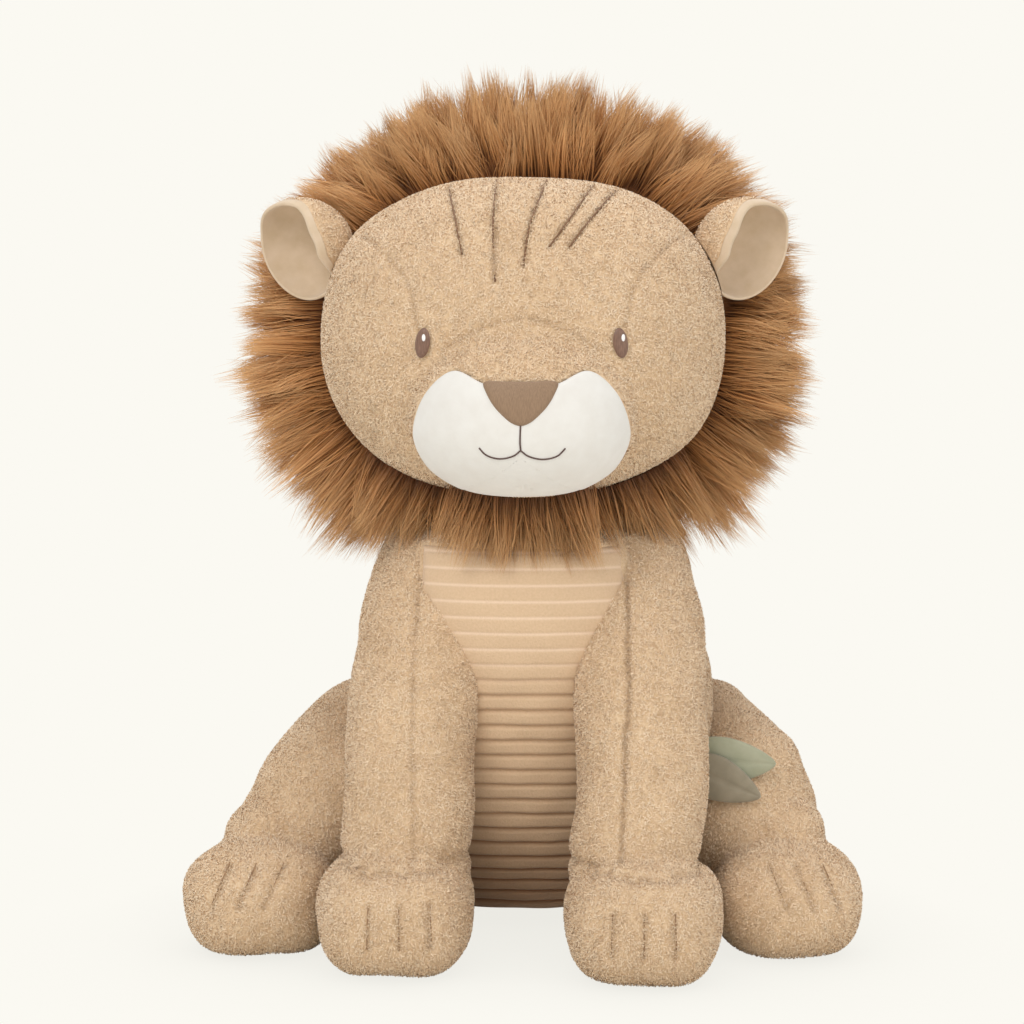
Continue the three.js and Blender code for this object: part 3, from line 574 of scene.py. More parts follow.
CURL_ALONG = np.array([0.0, 0.5, 1.0])
CURL_UP = np.array([-0.3, 0.9, 0.5])
CURL_WIDTH = np.array([0.9, 1.0, 0.5])
PILE_NAP = (0, 0, -0.5)
PILE_PER_MM2 = 0.8
LOOP_LENGTH = 1.9
LOOP_RISE = 1.25
LOOP_WIDTH = 0.58
PILE_ROOM = 1.1  # the cloth lies this far inside its form, which the pile fills


def painted_seam_shade(points, seams):
    """How much painted shade points get from seams: lines, how strongly it shows, and how far from them no
    pile stands.
    """
    shade = np.zeros(len(points))
    for lines, strength, _ in seams:
        shade = np.maximum(shade, strength * np.exp(-((distance_to(points, lines) / 1.4) ** 2)))
    return shade


def loops(name, verts, quads, seed, keep=None, seams=()):
    """Short curled pile over a skin, lying mostly downwards."""
    rng = np.random.default_rng(seed)
    at, up = scattered(verts, quads, PILE_PER_MM2, rng)
    if keep is not None:
        kept = keep(at)
        at, up = at[kept], up[kept]
    count = len(at)
    lay = rng.normal(size=(count, 3)) + PILE_NAP
    lay = unit(lay - up * (lay * up).sum(-1, keepdims=True))
    side = np.cross(up, lay)
    long = LOOP_LENGTH * rng.uniform(0.7, 1.25, (count, 1, 1))
    tall = LOOP_RISE * rng.uniform(0.6, 1.25, (count, 1, 1))
    sway = rng.normal(size=(count, 1, 1)) * 0.35 * CURL_ALONG[None, :, None] ** 2
    centres = (
        at[:, None]
        + lay[:, None] * long * (CURL_ALONG - 0.4)[None, :, None]
        + up[:, None] * tall * CURL_UP[None, :, None]
        + side[:, None] * sway * 2
    )
    tilt = rng.uniform(-0.8, 0.8, (count, 1))
    edge = unit(side * np.cos(tilt) + up * np.sin(tilt))
    across = edge[:, None] * (LOOP_WIDTH / 2 * CURL_WIDTH)[None, :, None]
    centres[..., 2] = np.maximum(centres[..., 2], FLOOR + LOOP_WIDTH / 2)
    clear = np.ones(count, bool)
    for lines, _, room in seams:
        for station in (0, -1):
            clear &= distance_to(centres[:, station], lines) > room
    # painted shade on the pile near the seams
    seam = painted_seam_shade(at[clear], seams)[:, None]
    return ribbons(name, centres[clear], across[clear], PILE, {"seam": seam})


def tucked_in(verts, quads):
    """A form's cloth, drawn in so that the pile on it fills the form."""
    return verts - normals_of(verts, quads) * PILE_ROOM


def sewn_form(verts, quads, lumpy, sewing):
    """A form's cloth with its lines sewn in. lumpy: the height, width and seed of its lumps. sewing: lines,
    how deep and how wide they sink, how dark their painted shade shows, and how far from them no pile stands."""
    height, wide, seed = lumpy
    verts = tucked_in(verts, quads) + normals_of(verts, quads) * (height * lumps(verts, wide, seed))[:, None]
    for lines, depth, width, _, _ in sewing:
        verts = sunk(verts, quads, lines, depth, width)
    return on_floor(verts)


def sewn_cloth(name, verts, quads, sewing):
    """The cloth as an object, and its seams where they lie on it."""
    skin = new_object(name, verts, quads.tolist(), BACKING)
    seams = [(on_cloth(lines, verts, quads), shows, room) for lines, _, _, shows, room in sewing]
    # painted shade on the cloth along its seams
    set_values(skin, "seam", painted_seam_shade(verts, seams))
    return skin, seams


# Torso


def on_floor(verts):
    out = verts.copy()
    out[:, 2] = np.maximum(out[:, 2], FLOOR + TOUCH)
    return out


def off_the_floor(points):
    return points[:, 2] > 1


CHEST = [(61, 244), (61, 218), (36, 172), (36, 84), (52, 3)]
RIBS = {"pitch": 9.5, "depth": 1.9, "groove": 1.3, "sink": 2.2, "pale_from": 150, "pale_to": 182}
SEAT_LIFT = 8.0  # how far the belly's front edge clears the floor
HEAD_ROOM = 7.0  # how far the torso's top is hollowed under the head, which nods over it


def chest_half_width(z):
    widths, heights = np.array(CHEST[::-1]).T
    return np.interp(z, heights, widths)


def inside_chest(at, margin=0.0):
    wide = chest_half_width(at[:, 2]) + margin
    tall = (at[:, 2] > CHEST[-1][1] - margin) & (at[:, 2] < CHEST[0][1] + margin)
    lean = -TORSO["lean"] * np.clip(at[:, 2] / TORSO["height"], 0, 1)
    return (np.abs(at[:, 0]) < wide) & tall & (at[:, 1] < lean)


def lifted(points):
    """The underside curves up towards the front of the belly."""
    out = points.copy()
    out[..., 2] += SEAT_LIFT * ease(-points[..., 1], 0, 42) * np.clip(1 - points[..., 2] / 45, 0, 1)
    return out


torso_verts, torso_quads = welded([torso_form()], 2.4)
torso_verts = lifted(on_floor(torso_verts))
TORSO_TREE = tree_of(torso_verts, torso_quads)


def torso_objects():
    verts = tucked_in(relax(torso_verts, torso_quads, 2), torso_quads)
    verts += normals_of(verts, torso_quads) * (0.8 * lumps(verts, 60, 3))[:, None]
    under = inside_chest(verts, -1)
    verts[under] -= normals_of(verts, torso_quads)[under] * UNDER
    verts[:, 2] -= HEAD_ROOM * ease(verts[:, 2], 242, 264)
    verts = on_floor(verts)
    skin = new_object("torso_cloth", verts, torso_quads.tolist(), BACKING)
    dress(skin, "torso", "coat", "torso_skin", "torso_fill", "seat_panel", fill=0.8)

    def open_coat(p):
        return ~inside_chest(p, 0.5) & (p[:, 2] > 1.5) & (p[:, 2] < 252)

    dress(loops("torso_pile", verts, torso_quads, 11, open_coat), "torso", "coat")
    dress(chest_object(), "torso", "ribbed", "chest_panel")


def chest_object():
    """The ribbed panel: level ribs over the torso's front, tucked in along its seam."""
    low, high = CHEST[-1][1], CHEST[0][1]
    z = np.linspace(low, high, 420)
    s = np.linspace(-1, 1, 110)
    sides = 720
    half = chest_half_width(z)
    points = np.empty((len(z), len(s), 3))
    for i, row in enumerate(torso_rings(z, sides)[:, sides // 2 :]):
        row = row[np.argsort(row[:, 0])]
        x = s * half[i]
        points[i] = np.stack([x, np.interp(x, row[:, 0], row[:, 1]), np.full(len(s), z[i])], -1)
    out = unit(np.cross(np.gradient(points, axis=1), np.gradient(points, axis=0)))
    phase = (z - low) / RIBS["pitch"]
    to_groove = np.abs(phase - np.round(phase)) * RIBS["pitch"]
    groove = np.exp(-((to_groove / RIBS["groove"]) ** 2))[:, None]
    flat = ease(z, RIBS["pale_from"], RIBS["pale_to"])[:, None]
    edge = (1 - np.abs(s)[None]) * half[:, None]
    ends = np.minimum(z - low, high - z)[:, None]
    tuck = np.exp(-np.minimum(edge, ends) / 1.6)
    wave = 0.35 * lumps(points.reshape(-1, 3), 26, 8).reshape(len(z), len(s))
    height = 0.6 + wave - RIBS["depth"] * groove * (1 - 0.8 * flat) - (RIBS["sink"] + 0.6) * tuck
    verts = lifted((points + out * height[..., None]).reshape(-1, 3))
    quads = quads_of(grid_of(len(z), len(s)), closed=False)
    panel = new_object("chest_ribs", verts, quads.tolist(), RIBBED)
    values = {
        # painted shade in the grooves, stronger towards the bottom
        "groove": groove * (1 - flat) * (0.4 + 0.4 * ease(-z, -110, -40))[:, None],
        "line": np.exp(-((to_groove / 0.75) ** 2))[:, None] * flat * 0.55,
        # painted shade over the whole panel, darker towards its bottom between the front legs
        "low": 0.62 * ease(-z, -100, -5)[:, None],
    }
    for key, value in values.items():
        set_values(panel, key, np.broadcast_to(value, (len(z), len(s))).reshape(-1))
    return panel


# Front legs


def foreleg_parts(side):
    stride = STRIDE[side]
    out_shares = (0, 0.7, 0.9, 1, 1, 1)
    ahead_shares = (0, 0.32, 0.7, 0.92, 1, 1)
    top, sole, out_top, out, ahead_top, ahead = 262, 21, 58, 67, 72, 146
    along = zip(FORELEG_SPINE_DOWN, out_shares, ahead_shares)
    spine = [
        (out_top + (out - out_top) * o, -ahead_top - (ahead - ahead_top) * a - stride * d,
         top + (sole - top) * d)
        for d, o, a in along
    ]
    leg = limb(spine, (29, 39, 39, 39), (29, 38, 38, 38), (1, 0, 0), 36)
    paw = plump((out + 5, -ahead - 15 - stride, 33), (46, 56, 38), 2.3, 2.8)
    return [leg, paw]


def to_side(parts, side):
    flip = np.array([SIDES[side], 1, 1])
    if side == "left":
        return parts
    return [(v * flip, [list(f)[::-1] for f in faces]) for v, faces in parts]


def ring_line(verts, z, band=1.5):
    """The points of a skin near a height, in order round their middle."""
    near = verts[np.abs(verts[:, 2] - z) < band]
    middle = near.mean(0)
    order = np.argsort(np.arctan2(near[:, 1] - middle[1], near[:, 0] - middle[0]))
    return near[order][:: max(1, len(near) // 60)]


def front_points(tree, points):
    """Points (x, z) on the front of a skin, seen along +Y."""
    found = []
    for x, z in points:
        at = tree.ray_cast(Vector((x, IN_FRONT, z)), Vector((0, 1, 0)))[0]
        if at is None:
            at = tree.find_nearest(Vector((x, -200, z)))[0]
        found.append(at)
    return np.array(found)


FORELEGS = {}  # the form of each, for the hind legs to press on
# Each seam: how deep and how wide it sinks, how dark its painted shade shows, and how far from it no pile
# stands
TOE_SEAM = (2.6, 2.8, 0.25, 0.3)
ANKLE_SEAM = (3.0, 3.4, 0.25, 0.1)
TOE_THREAD_RADIUS = 0.3
LEG_SEAM_SINK = (2.2, 2.6)
LEG_SEAM_ROOM = 0.4
SEAM_SHADE_SHOWS = {"left": 0.6, "right": 0.25}
LEG_SEAM = {
    "left": [(61, 236), (62, 200), (60, 150), (58, 110), (56, 68)],
    "right": [(61, 236), (63, 200), (63.5, 150), (63, 110), (62, 68)],
}


def leg_pieces(leg, paw, form, lumpy, sewing, seed, keep):
    """A leg's cloth, pile and toe threads. The first lines of its sewing are those of its toes."""
    verts, quads, moved = form
    verts = sewn_form(verts, quads, lumpy, sewing)
    skin, seams = sewn_cloth(f"{leg}_cloth", verts, quads, sewing)
    open_quads = quads[moved[quads].max(axis=1) < PRESSED]
    pile = loops(f"{leg}_pile", verts, open_quads, seed, keep, seams)
    toes = [line + (0, 2.9, 0) for line in sewing[0][0]]
    threads = thread_tube(f"{paw}_toe_threads", toes, TOE_THREAD_RADIUS, TOE_THREAD)
    dress(threads, leg, "stitching", *[f"{paw}_toe_{i}" for i in (1, 2, 3)])
    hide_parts(f"{leg}_skin", f"{paw}_skin", f"{leg}_fill")
    return skin, pile


def foreleg_objects(side):
    verts, quads = welded(to_side(foreleg_parts(side), side), 2.3)
    verts = relax(on_floor(verts), quads, 6)
    rise = verts[:, 2]
    if side == "right":
        verts[:, 0] += 7 * ease(rise, 110, 235) - 2 * ease(-rise, -90, -60)
    else:
        verts[:, 0] += 3.5 * ease(rise, 60, 110) - 1.5 * ease(-rise, -90, -60)
    verts[:, 1] += 11 * ease(rise, 140, 225)
    verts, moved = seated(verts, TORSO_TREE)
    tree = FORELEGS[side] = tree_of(verts, quads)
    way = SIDES[side]
    toes = [
        front_points(tree, [(72 * way + (p * 19 - 3 - 2 * p * z / 60) * way, z) for z in (45, 38, 30, 20)])
        for p in (-1, 0, 1)
    ]
    ankle = ring_line(verts, 63)
    ankle = ankle[ankle[:, 1] < -110]
    seam = front_points(tree, [(x * way, z) for x, z in LEG_SEAM[side]])
    leg_seam = (*LEG_SEAM_SINK, SEAM_SHADE_SHOWS[side], LEG_SEAM_ROOM)
    sewing = [(toes, *TOE_SEAM), ([ankle], *ANKLE_SEAM), ([seam], *leg_seam)]
    leg = f"front_leg_{side}"
    form = verts, quads, moved
    for obj in leg_pieces(leg, f"front_paw_{side}", form, (0.9, 46, 5), sewing, 21 + way, off_the_floor):
        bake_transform(obj)


# Hind legs


HIND_TOES_OUT = {"left": 166, "right": 162}
THIGH_HALF_WIDTH, THIGH_HALF_HEIGHT = 75, 59
TAIL_ROOM = 4.0  # under the tail, the thigh is pressed in this far from it
FAR_MOVED = 25  # what the front leg would press further than this stays where it is, hidden


def hindleg_parts():
    widths = [THIGH_HALF_WIDTH * share for share in (0.9, 1, 0.84, 0.54)]
    depths = [THIGH_HALF_HEIGHT * share for share in (0.95, 1, 0.88, 0.72)]
    spine = [(92, 60, 66), (100, 2, 74), (126, -53, 70), (150, -103, 40)]
    leg = limb(spine, widths, depths, (0, 0, 1), 46)
    paw = plump((158, -110, 31), (46, 50, 36), 2.25, 2.6)
    ankle = plump((160, -88, 62), (24, 28, 26), 2.2, 2.2)
    return [leg, paw, ankle]


def hindleg_objects(side):
    verts, quads = welded(to_side(hindleg_parts(), side), 2.3)
    verts = relax(on_floor(verts), quads, 14)
    rise = verts[:, 2]
    if side == "right":
        verts[:, 0] += 10 * ease(rise, 62, 95) * (1 - 0.75 * ease(rise, 110, 145))
    else:
        verts[:, 0] += 5 * ease(rise, 98, 125) + 7 * ease(rise, 128, 150)
    verts, moved = seated(verts, TORSO_TREE)
    pressed = press(verts, FORELEGS[side], TOUCH)
    hidden = (moved > PRESSED) | (np.linalg.norm(pressed - verts, axis=1) > FAR_MOVED)
    verts = np.where(hidden[:, None], verts, pressed)
    tail = tree_of(*tail_form()) if side == "left" else None
    if tail:
        verts = press(verts, tail, TAIL_ROOM)
    tree = tree_of(verts, quads)
    way, out = SIDES[side], HIND_TOES_OUT[side]
    toes = [
        front_points(tree, [((out + p * 16 + t * 5) * way, z) for t, z in ((-1, 57), (0, 45), (1, 33))])
        for p in (-1, 0, 1)
    ]

    def open_coat(p):
        clear = off_the_floor(p)
        return clear & (tree_distance(p, tail) > TAIL_ROOM + 1) if tail else clear

    leg = f"hind_leg_{side}"
    form, sewing = (verts, quads, moved), [(toes, *TOE_SEAM)]
    for obj in leg_pieces(leg, f"hind_paw_{side}", form, (1.0, 50, 7), sewing, 31 + way, open_coat):
        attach(obj, leg)


# Head


def mirrored(points):
    return [(-x, z) for x, z in points]


FACE_RISE = 2.0  # the muzzle, nose, mouth and eyes sit this much higher than their outlines here
TUCKS = [
    [(-44, 90), (-42, 82), (-38, 66), (-34, 47)],
    [(-16, 93.8), (-16, 85), (-16.5, 64), (-15, 31)],
    [(14, 93.8), (11, 84), (4, 62), (1, 40)],
    [(42, 90.5), (37, 83), (26, 66), (15.5, 51)],
    [(56, 87.5), (50, 81), (38, 66), (27, 51)],
]
BROW_SEAM = [(59, 6), (66, 32), (84, 52), (97, 60)]
BRIDGE_SEAM = [(-46, -8), (-25, 3), (0, 10), (25, 3), (46, -8)]
MUZZLE_HALF = [
    (0, -28), (19.4, -28), (38, -20.5), (54, -33), (62, -54), (60, -66), (50, -80.5), (30, -90), (0, -93),
]
NOSE_HALF = [
    (0, -27.4), (10, -27.2), (19.6, -27.4), (20.6, -28.6), (17.8, -36), (14.6, -41), (10, -46), (5, -50),
    (0, -51.6),
]
MOUTH_LINES = [  # each with how far it stands off the face
    ([(0, -51), (-0.3, -60), (0, -64.7)], 1.2),
    ([(0, -64.7), (-4, -67.7), (-12, -69.3), (-19, -67.2), (-22.8, -63.4)], 1.1),
    ([(0, -64.7), (4, -67.7), (12, -69.6), (20, -67.8), (24.4, -63.6)], 1.1),
]
EYE_OUT = 55.5
MOUTH_RADIUS, TUCK_RADIUS = 0.47, 0.5
TUCK_SEAM = (2.6, 2.2, 0.5, 0.4)  # as for the legs' seams
FACE_SEAM = (1.2, 2.2, 0.2, 0.1)
CHIN_DARTS = [[(-1.5, -84), (-2, -92)], [(1.5, -83), (2, -92)], [(5, -85), (5.6, -92)]]

HEAD_FORM_HALF = (120.5, 98, 95)  # a little narrower than the solid
head_forms = [plump(HEAD_AT, HEAD_FORM_HALF, HEAD_SQUARE), plump(SNOUT_AT, SNOUT_HALF, SNOUT_SQUARE)]
head_verts, head_quads = welded(head_forms, 2.2)
head_verts = relax(head_verts, head_quads, 10)
HEAD_TREE = tree_of(head_verts, head_quads)


def on_face(points, lift=0.0, rise=0.0):
    """Points (x, z), from the head's centre, on the front of the face."""
    found = []
    for x, z in np.asarray(points) + (0, rise):
        at, normal, _, _ = HEAD_TREE.ray_cast(Vector((x, IN_FRONT, HEAD_AT[2] + z)), Vector((0, 1, 0)))
        if at is None:
            at, normal, _, _ = HEAD_TREE.find_nearest(Vector((x, SNOUT_AT[1] - 30, HEAD_AT[2] + z)))
        found.append(at + normal * lift)
    return np.array(found)


def inside_outline(points, outline):
    """Which points (x, z) lie inside a closed outline."""
    poly = np.asarray(outline, float)
    inside = np.zeros(len(points), bool)
    for (x0, z0), (x1, z1) in zip(poly, np.roll(poly, -1, axis=0)):
        crosses = (z0 > points[:, 1]) != (z1 > points[:, 1])
        at = x0 + (points[:, 1] - z0) / (z1 - z0 + 1e-12) * (x1 - x0)
        inside ^= crosses & (points[:, 0] < at)
    return inside


def closed_curve(points, count):
    ring = list(points) + [points[0]]
    return smooth_curve(ring, count + 1)[:-1]


def patch(name, outline, rings, profile, material):
    """A sewn or embroidered patch over the face: rings from its middle out to its outline. profile: how far
    it stands off the face, how much lower its edge lies, and how far in from there that fades."""
    high, drop, fade = profile
    edge = on_face(outline, 0, FACE_RISE)
    origin = np.array([0.0, SNOUT_AT[1] + 20, SNOUT_AT[2]]) if abs(edge[:, 0].mean()) < 10 else HEAD_AT
    to_edge = unit(edge - origin)
    middle = unit(to_edge.mean(0))

    def point(way, end=None):
        at, normal = (np.array(v) for v in HEAD_TREE.ray_cast(Vector(origin), Vector(way))[:2])
        off = 0.0 if end is None else np.linalg.norm(end - at)
        return at + normal * (high - drop * math.exp(-off / fade))

    points = [point(middle, origin)]  # its middle, far from every edge
    for s in np.linspace(0, 1, rings)[1:]:
        for way, end in zip(to_edge, edge):
            points.append(point(unit(middle * (1 - s) + way * s), end if s < 1 else None))
    verts = np.array(points)
    grid = grid_of(rings - 1, len(outline), 1)
    quads = quads_of(grid)
    tris = [[0, int(a), int(b)] for a, b in zip(grid[0], np.roll(grid[0], -1))]
    obj = new_object(name, verts, quads[:, ::-1].tolist() + tris, material)
    corner = verts[quads[0]]
    if np.cross(corner[1] - corner[0], corner[2] - corner[0]) @ middle > 0:
        obj.data.flip_normals()
    return obj


def thread_tube(name, lines, radius, material, steps=60, sides=10):
    """A thread laid along lines of points, each line its own tube in one mesh."""
    verts, faces = [], []
    turn = full_turn(sides)[None, :, None]
    for line in lines:
        path = smooth_curve(line, steps)
        ahead = unit(np.gradient(path, axis=0))
        side = unit(np.cross(ahead, (0.0, 1.0, 0.0)))
        deep = np.cross(ahead, side)
        round_it = side[:, None] * np.cos(turn) + deep[:, None] * np.sin(turn)
        at = grid_of(steps, sides, len(verts) * steps * sides)
        verts.append((path[:, None] + radius * round_it).reshape(-1, 3))
        faces += quads_of(at).tolist() + [at[0, ::-1].tolist(), at[-1].tolist()]
    return new_object(name, np.vstack(verts), faces, material)


def oval(x, z, half_x, half_z, slant=0.0):
    turn = full_turn(40)
    across = x + half_x * np.cos(turn) - slant * half_z * np.sin(turn)
    return np.stack([across, z + half_z * np.sin(turn)], -1)


def whole(half_outline):
    """An outline (x, z) from its half on the lion's left."""
    return half_outline + mirrored(half_outline[1:-1])[::-1]


def head_objects():
    muzzle_outline = closed_curve(whole(MUZZLE_HALF), 420)
    lifted_outline = muzzle_outline + (0, FACE_RISE)
    tucks = [on_face(line) for line in TUCKS]
    seam_lines = [on_face(line) for line in (BROW_SEAM, mirrored(BROW_SEAM), BRIDGE_SEAM)]
    sewing = [(tucks, *TUCK_SEAM), (seam_lines, *FACE_SEAM)]
    verts = sewn_form(head_verts, head_quads, (0.7, 70, 4), sewing)

    def on_muzzle(p, outline):
        spot = np.stack([p[:, 0], p[:, 2] - HEAD_AT[2]], -1)
        return (p[:, 1] < SNOUT_AT[1] + 20) & inside_outline(spot, outline)

    covered = on_muzzle(head_verts, lifted_outline * 0.98)
    verts[covered] -= normals_of(verts, head_quads)[covered] * 2.5
    skin, seams = sewn_cloth("head_cloth", verts, head_quads, sewing)
    dress(skin, "head", "coat", "face_skin", "snout_bridge", "head_fill", fill=0.85)

    def open_coat(p):
        behind = p[:, 1] > HEAD_AT[1] + 42
        eye_z = HEAD_AT[2] + FACE_RISE - 5.5
        off = ((np.abs(p[:, 0]) - EYE_OUT) / 4.5) ** 2 + ((p[:, 2] - eye_z) / 8.6) ** 2
        eye = (off < 1) & (p[:, 1] < HEAD_AT[1])
        ear = np.abs(p) - (EAR["out"], -HEAD_AT[1], HEAD_AT[2] + EAR["above"])
        by_ear = ((ear / (EAR["radius"] + 2, EAR["half_depth"] + 2, EAR["radius"] + 2)) ** 2).sum(-1) < 1
        return ~(on_muzzle(p, lifted_outline) | behind | eye | by_ear)

    dress(loops("head_pile", verts, head_quads, 41, open_coat, seams), "head", "coat")
    muzzle = patch("muzzle", muzzle_outline, 60, (0.9, 2.6, 1.3), MUZZLE)
    darts = [on_face(line) for line in CHIN_DARTS]
    points = np.array([v.co for v in muzzle.data.vertices]) / MM
    depth = 1.4 * np.exp(-((distance_to(points, darts) / 1.1) ** 2)) * MM
    for vertex, sink in zip(muzzle.data.vertices, depth):
        vertex.co -= vertex.normal * sink
    dress(muzzle, "head", "cream", "muzzle_panel")
    nose = patch("nose", closed_curve(whole(NOSE_HALF), 90), 18, (2.6, 1.9, 1.0), SATIN)
    dress(nose, "head", "brown", "nose_patch")
    lines = [on_face(line, lift, FACE_RISE) for line, lift in MOUTH_LINES]
    dress(thread_tube("mouth", lines, MOUTH_RADIUS, DARK_THREAD), "head", "thread", "mouth_stitch")
    lines = [on_face(line, -2.0) for line in TUCKS]
    threads = thread_tube("tuck_threads", lines, TUCK_RADIUS, TUCK_THREAD)
    dress(threads, "head", "stitching", *[f"forehead_tuck_{i}" for i in range(1, 6)])
    for side, way in SIDES.items():
        ring = oval(EYE_OUT * way, -5.8, 4.2, 8.4, 0.1 * way)
        eye = patch(f"eye_{side}_satin", ring, 10, (1.9, 1.2, 0.9), EYE_SATIN)
        dress(eye, "head", "thread", f"eye_{side}")
        spot = oval(EYE_OUT * way + 1.1, -2.9, 1.0, 2.0)
        glint = patch(f"eye_{side}_spot", spot, 5, (2.4, 0.4, 0.5), WHITE_THREAD)
        dress(glint, "head", "white", f"eye_{side}_glint")


# Ears


def ear_objects(side):
    """A shallow cup that faces forward, its upper inner edge folded over as a hood, with a smooth lining."""
    at = np.array([EAR["out"], HEAD_AT[1], HEAD_AT[2] + EAR["above"]])
    half = np.array([EAR["radius"] + 1.5, EAR["half_depth"], EAR["radius"]], float)
    tilt, twist = math.radians(EAR["tilt"]), math.radians(EAR["turn"])
    way = np.array([-math.sin(twist) * math.cos(tilt), math.cos(twist) * math.cos(tilt), math.sin(tilt)])
    across = unit(np.cross(way, (0.0, 0.0, 1.0)))
    up = np.cross(across, way)
    turn = full_turn(180)
    degrees = np.degrees(turn)
    around = np.cos(turn)[:, None] * across + np.sin(turn)[:, None] * up
    hood = (0.34 * ease(degrees, 15, 60) + 0.66 * ease(degrees, 95, 150)) * (1 - ease(degrees, 182, 225))
    edge = np.radians(90 + 23 * hood)
    wrap = np.radians(8 - 1 * hood)
    thick = 1.3 + 1.4 * hood

    def ring(inset, lean):
        direction = np.sin(lean)[:, None] * around + np.cos(lean)[:, None] * way
        size = half - np.broadcast_to(inset, (len(turn),))[:, None]
        return at + direction / np.sqrt(((direction / size) ** 2).sum(-1, keepdims=True))

    def shell(inset, levels=50):
        return np.array([ring(inset, edge * share) for share in np.linspace(0, 1, levels)])

    def round_rim(outside, inside, before, steps=8):
        """The half round that joins two edges, pointing away from the ring before them."""
        middle, arm = (outside + inside) / 2, (outside - inside) / 2
        lip = unit(np.cross(arm, np.roll(middle, -1, 0) - np.roll(middle, 1, 0)))
        lip = lip * np.sign((lip * (outside - before)).sum(-1, keepdims=True))
        bulge = lip * np.linalg.norm(arm, axis=-1, keepdims=True)
        return [middle + arm * math.cos(t) + bulge * math.sin(t) for t in np.linspace(0, np.pi, steps)[1:-1]]

    outer, inner, smooth = shell(0.6), shell(thick)[::-1], shell(thick + 0.5)
    cup_rings = np.concatenate([outer, round_rim(outer[-1], inner[0], outer[-2]), inner])
    outside = [ring(-0.1, edge - wrap * share) for share in np.linspace(0, 1, 8)]
    tuck_under = ring(0.9, edge - wrap * 1.05)
    over = round_rim(outside[0], smooth[-1], outside[1])[::-1]
    lining_rings = np.concatenate([smooth, over, outside, [tuck_under, tuck_under]])
    flip = np.array([SIDES[side], 1, 1])

    def finished(rings, name, material, closed):
        grid, faces = loft(rings)
        if not closed:
            faces = [f for f in faces if len(grid) - 1 not in f]
        grid = press(grid * flip, HEAD_TREE, TOUCH)
        quads = np.array([f for f in faces if len(f) == 4])
        if (normals_of(grid, quads)[1] @ (way * flip) < 0) == (material is BACKING):
            faces = [f[::-1] for f in faces]
            quads = quads[:, ::-1]
        return new_object(name, grid, faces, material), grid, quads

    body = f"ear_{side}"
    cup, grid, quads = finished(cup_rings, f"{body}_cloth", BACKING, True)
    dress(cup, body, "coat", body, fill=0.4)
    piled = quads[quads.max(axis=1) < 44 * len(turn)]
    on_head = tree_distance(grid[piled].mean(1), HEAD_TREE) < 1.5
    dress(loops(f"{body}_pile", grid, piled[~on_head], 51 + SIDES[side]), body, "coat")
    lining, _, _ = finished(lining_rings, f"{body}_velour", EAR_LINING, False)
    dress(lining, body, "lining", f"{body}_lining")


def tree_distance(points, tree):
    return np.array([tree.find_nearest(Vector(p))[3] for p in points])


# Mane


MANE_CORE_HALF = np.array([140.0, 62.0, 112.0])
CORE_CLEARANCE = 10  # from the torso
LOCKS_PER_MM2, CHIN_LOCKS_PER_MM2 = 0.014, 0.021
LOCK_LENGTH, LOCK_SHORTER_BEHIND, CHIN_LOCK_LENGTH = 46, 8, 39.0
STRANDS = 70
STATIONS = 7
STRAND_SPREAD = 4.4
STRAND_HALF_WIDTH = 0.21
LOCK_BEND = 4
LOCK_SAG = 3.5
MANE_REACH = {
    0: 1.05, 40: 1.0, 60: 0.95, 90: 1.05, 130: 0.85, 150: 0.9, 180: 1.15, 205: 1.3, 222: 1.45, 238: 1.2,
    255: 1.0, 285: 1.0, 302: 1.3, 318: 1.5, 338: 1.25,
}
# The trimmed outline of the mane: its distance from the head's centre, seen from the front
MANE_TRIM = {
    8: 176, 16: 181, 24: 180, 34: 172, 41: 175, 51: 170, 66: 171, 73: 165, 82: 167, 90: 169, 100: 167,
    113: 169, 122: 155, 135: 161, 145: 168, 156: 178, 172: 181, 182: 184, 203: 184, 215: 181, 226: 178,
    235: 170, 249: 145, 270: 132, 291: 145, 303: 168, 315: 183, 326: 187, 348: 184, 357: 179,
}


def hair_room(at):
    """How far points on the mane's cloth lie outside the head."""
    way = (at - HEAD_AT) / (np.array(HEAD_HALF) - 3)
    return (np.abs(way) ** HEAD_SQUARE).sum(-1) - 1


def flow(points, scale, seed):
    """Smooth random directions, which neighbouring locks share."""
    return np.stack([lumps(points, scale, seed + k) for k in range(3)], -1)


def clear_of_ears(line):
    """Lets strands pass behind the ears: the points inside an ear's room move back out of it."""
    for way in (1, -1):
        at = np.array([EAR["out"] * way, HEAD_AT[1], HEAD_AT[2] + EAR["above"]])
        off = line - at
        flat = (off[..., 0] ** 2 + off[..., 2] ** 2) / (EAR["radius"] + 7) ** 2
        back = np.sqrt(np.clip(1 - flat, 0, 1)) * (EAR["half_depth"] + 8)
        line[..., 1] = np.where(flat < 1, np.maximum(line[..., 1], at[1] + back), line[..., 1])
    return line


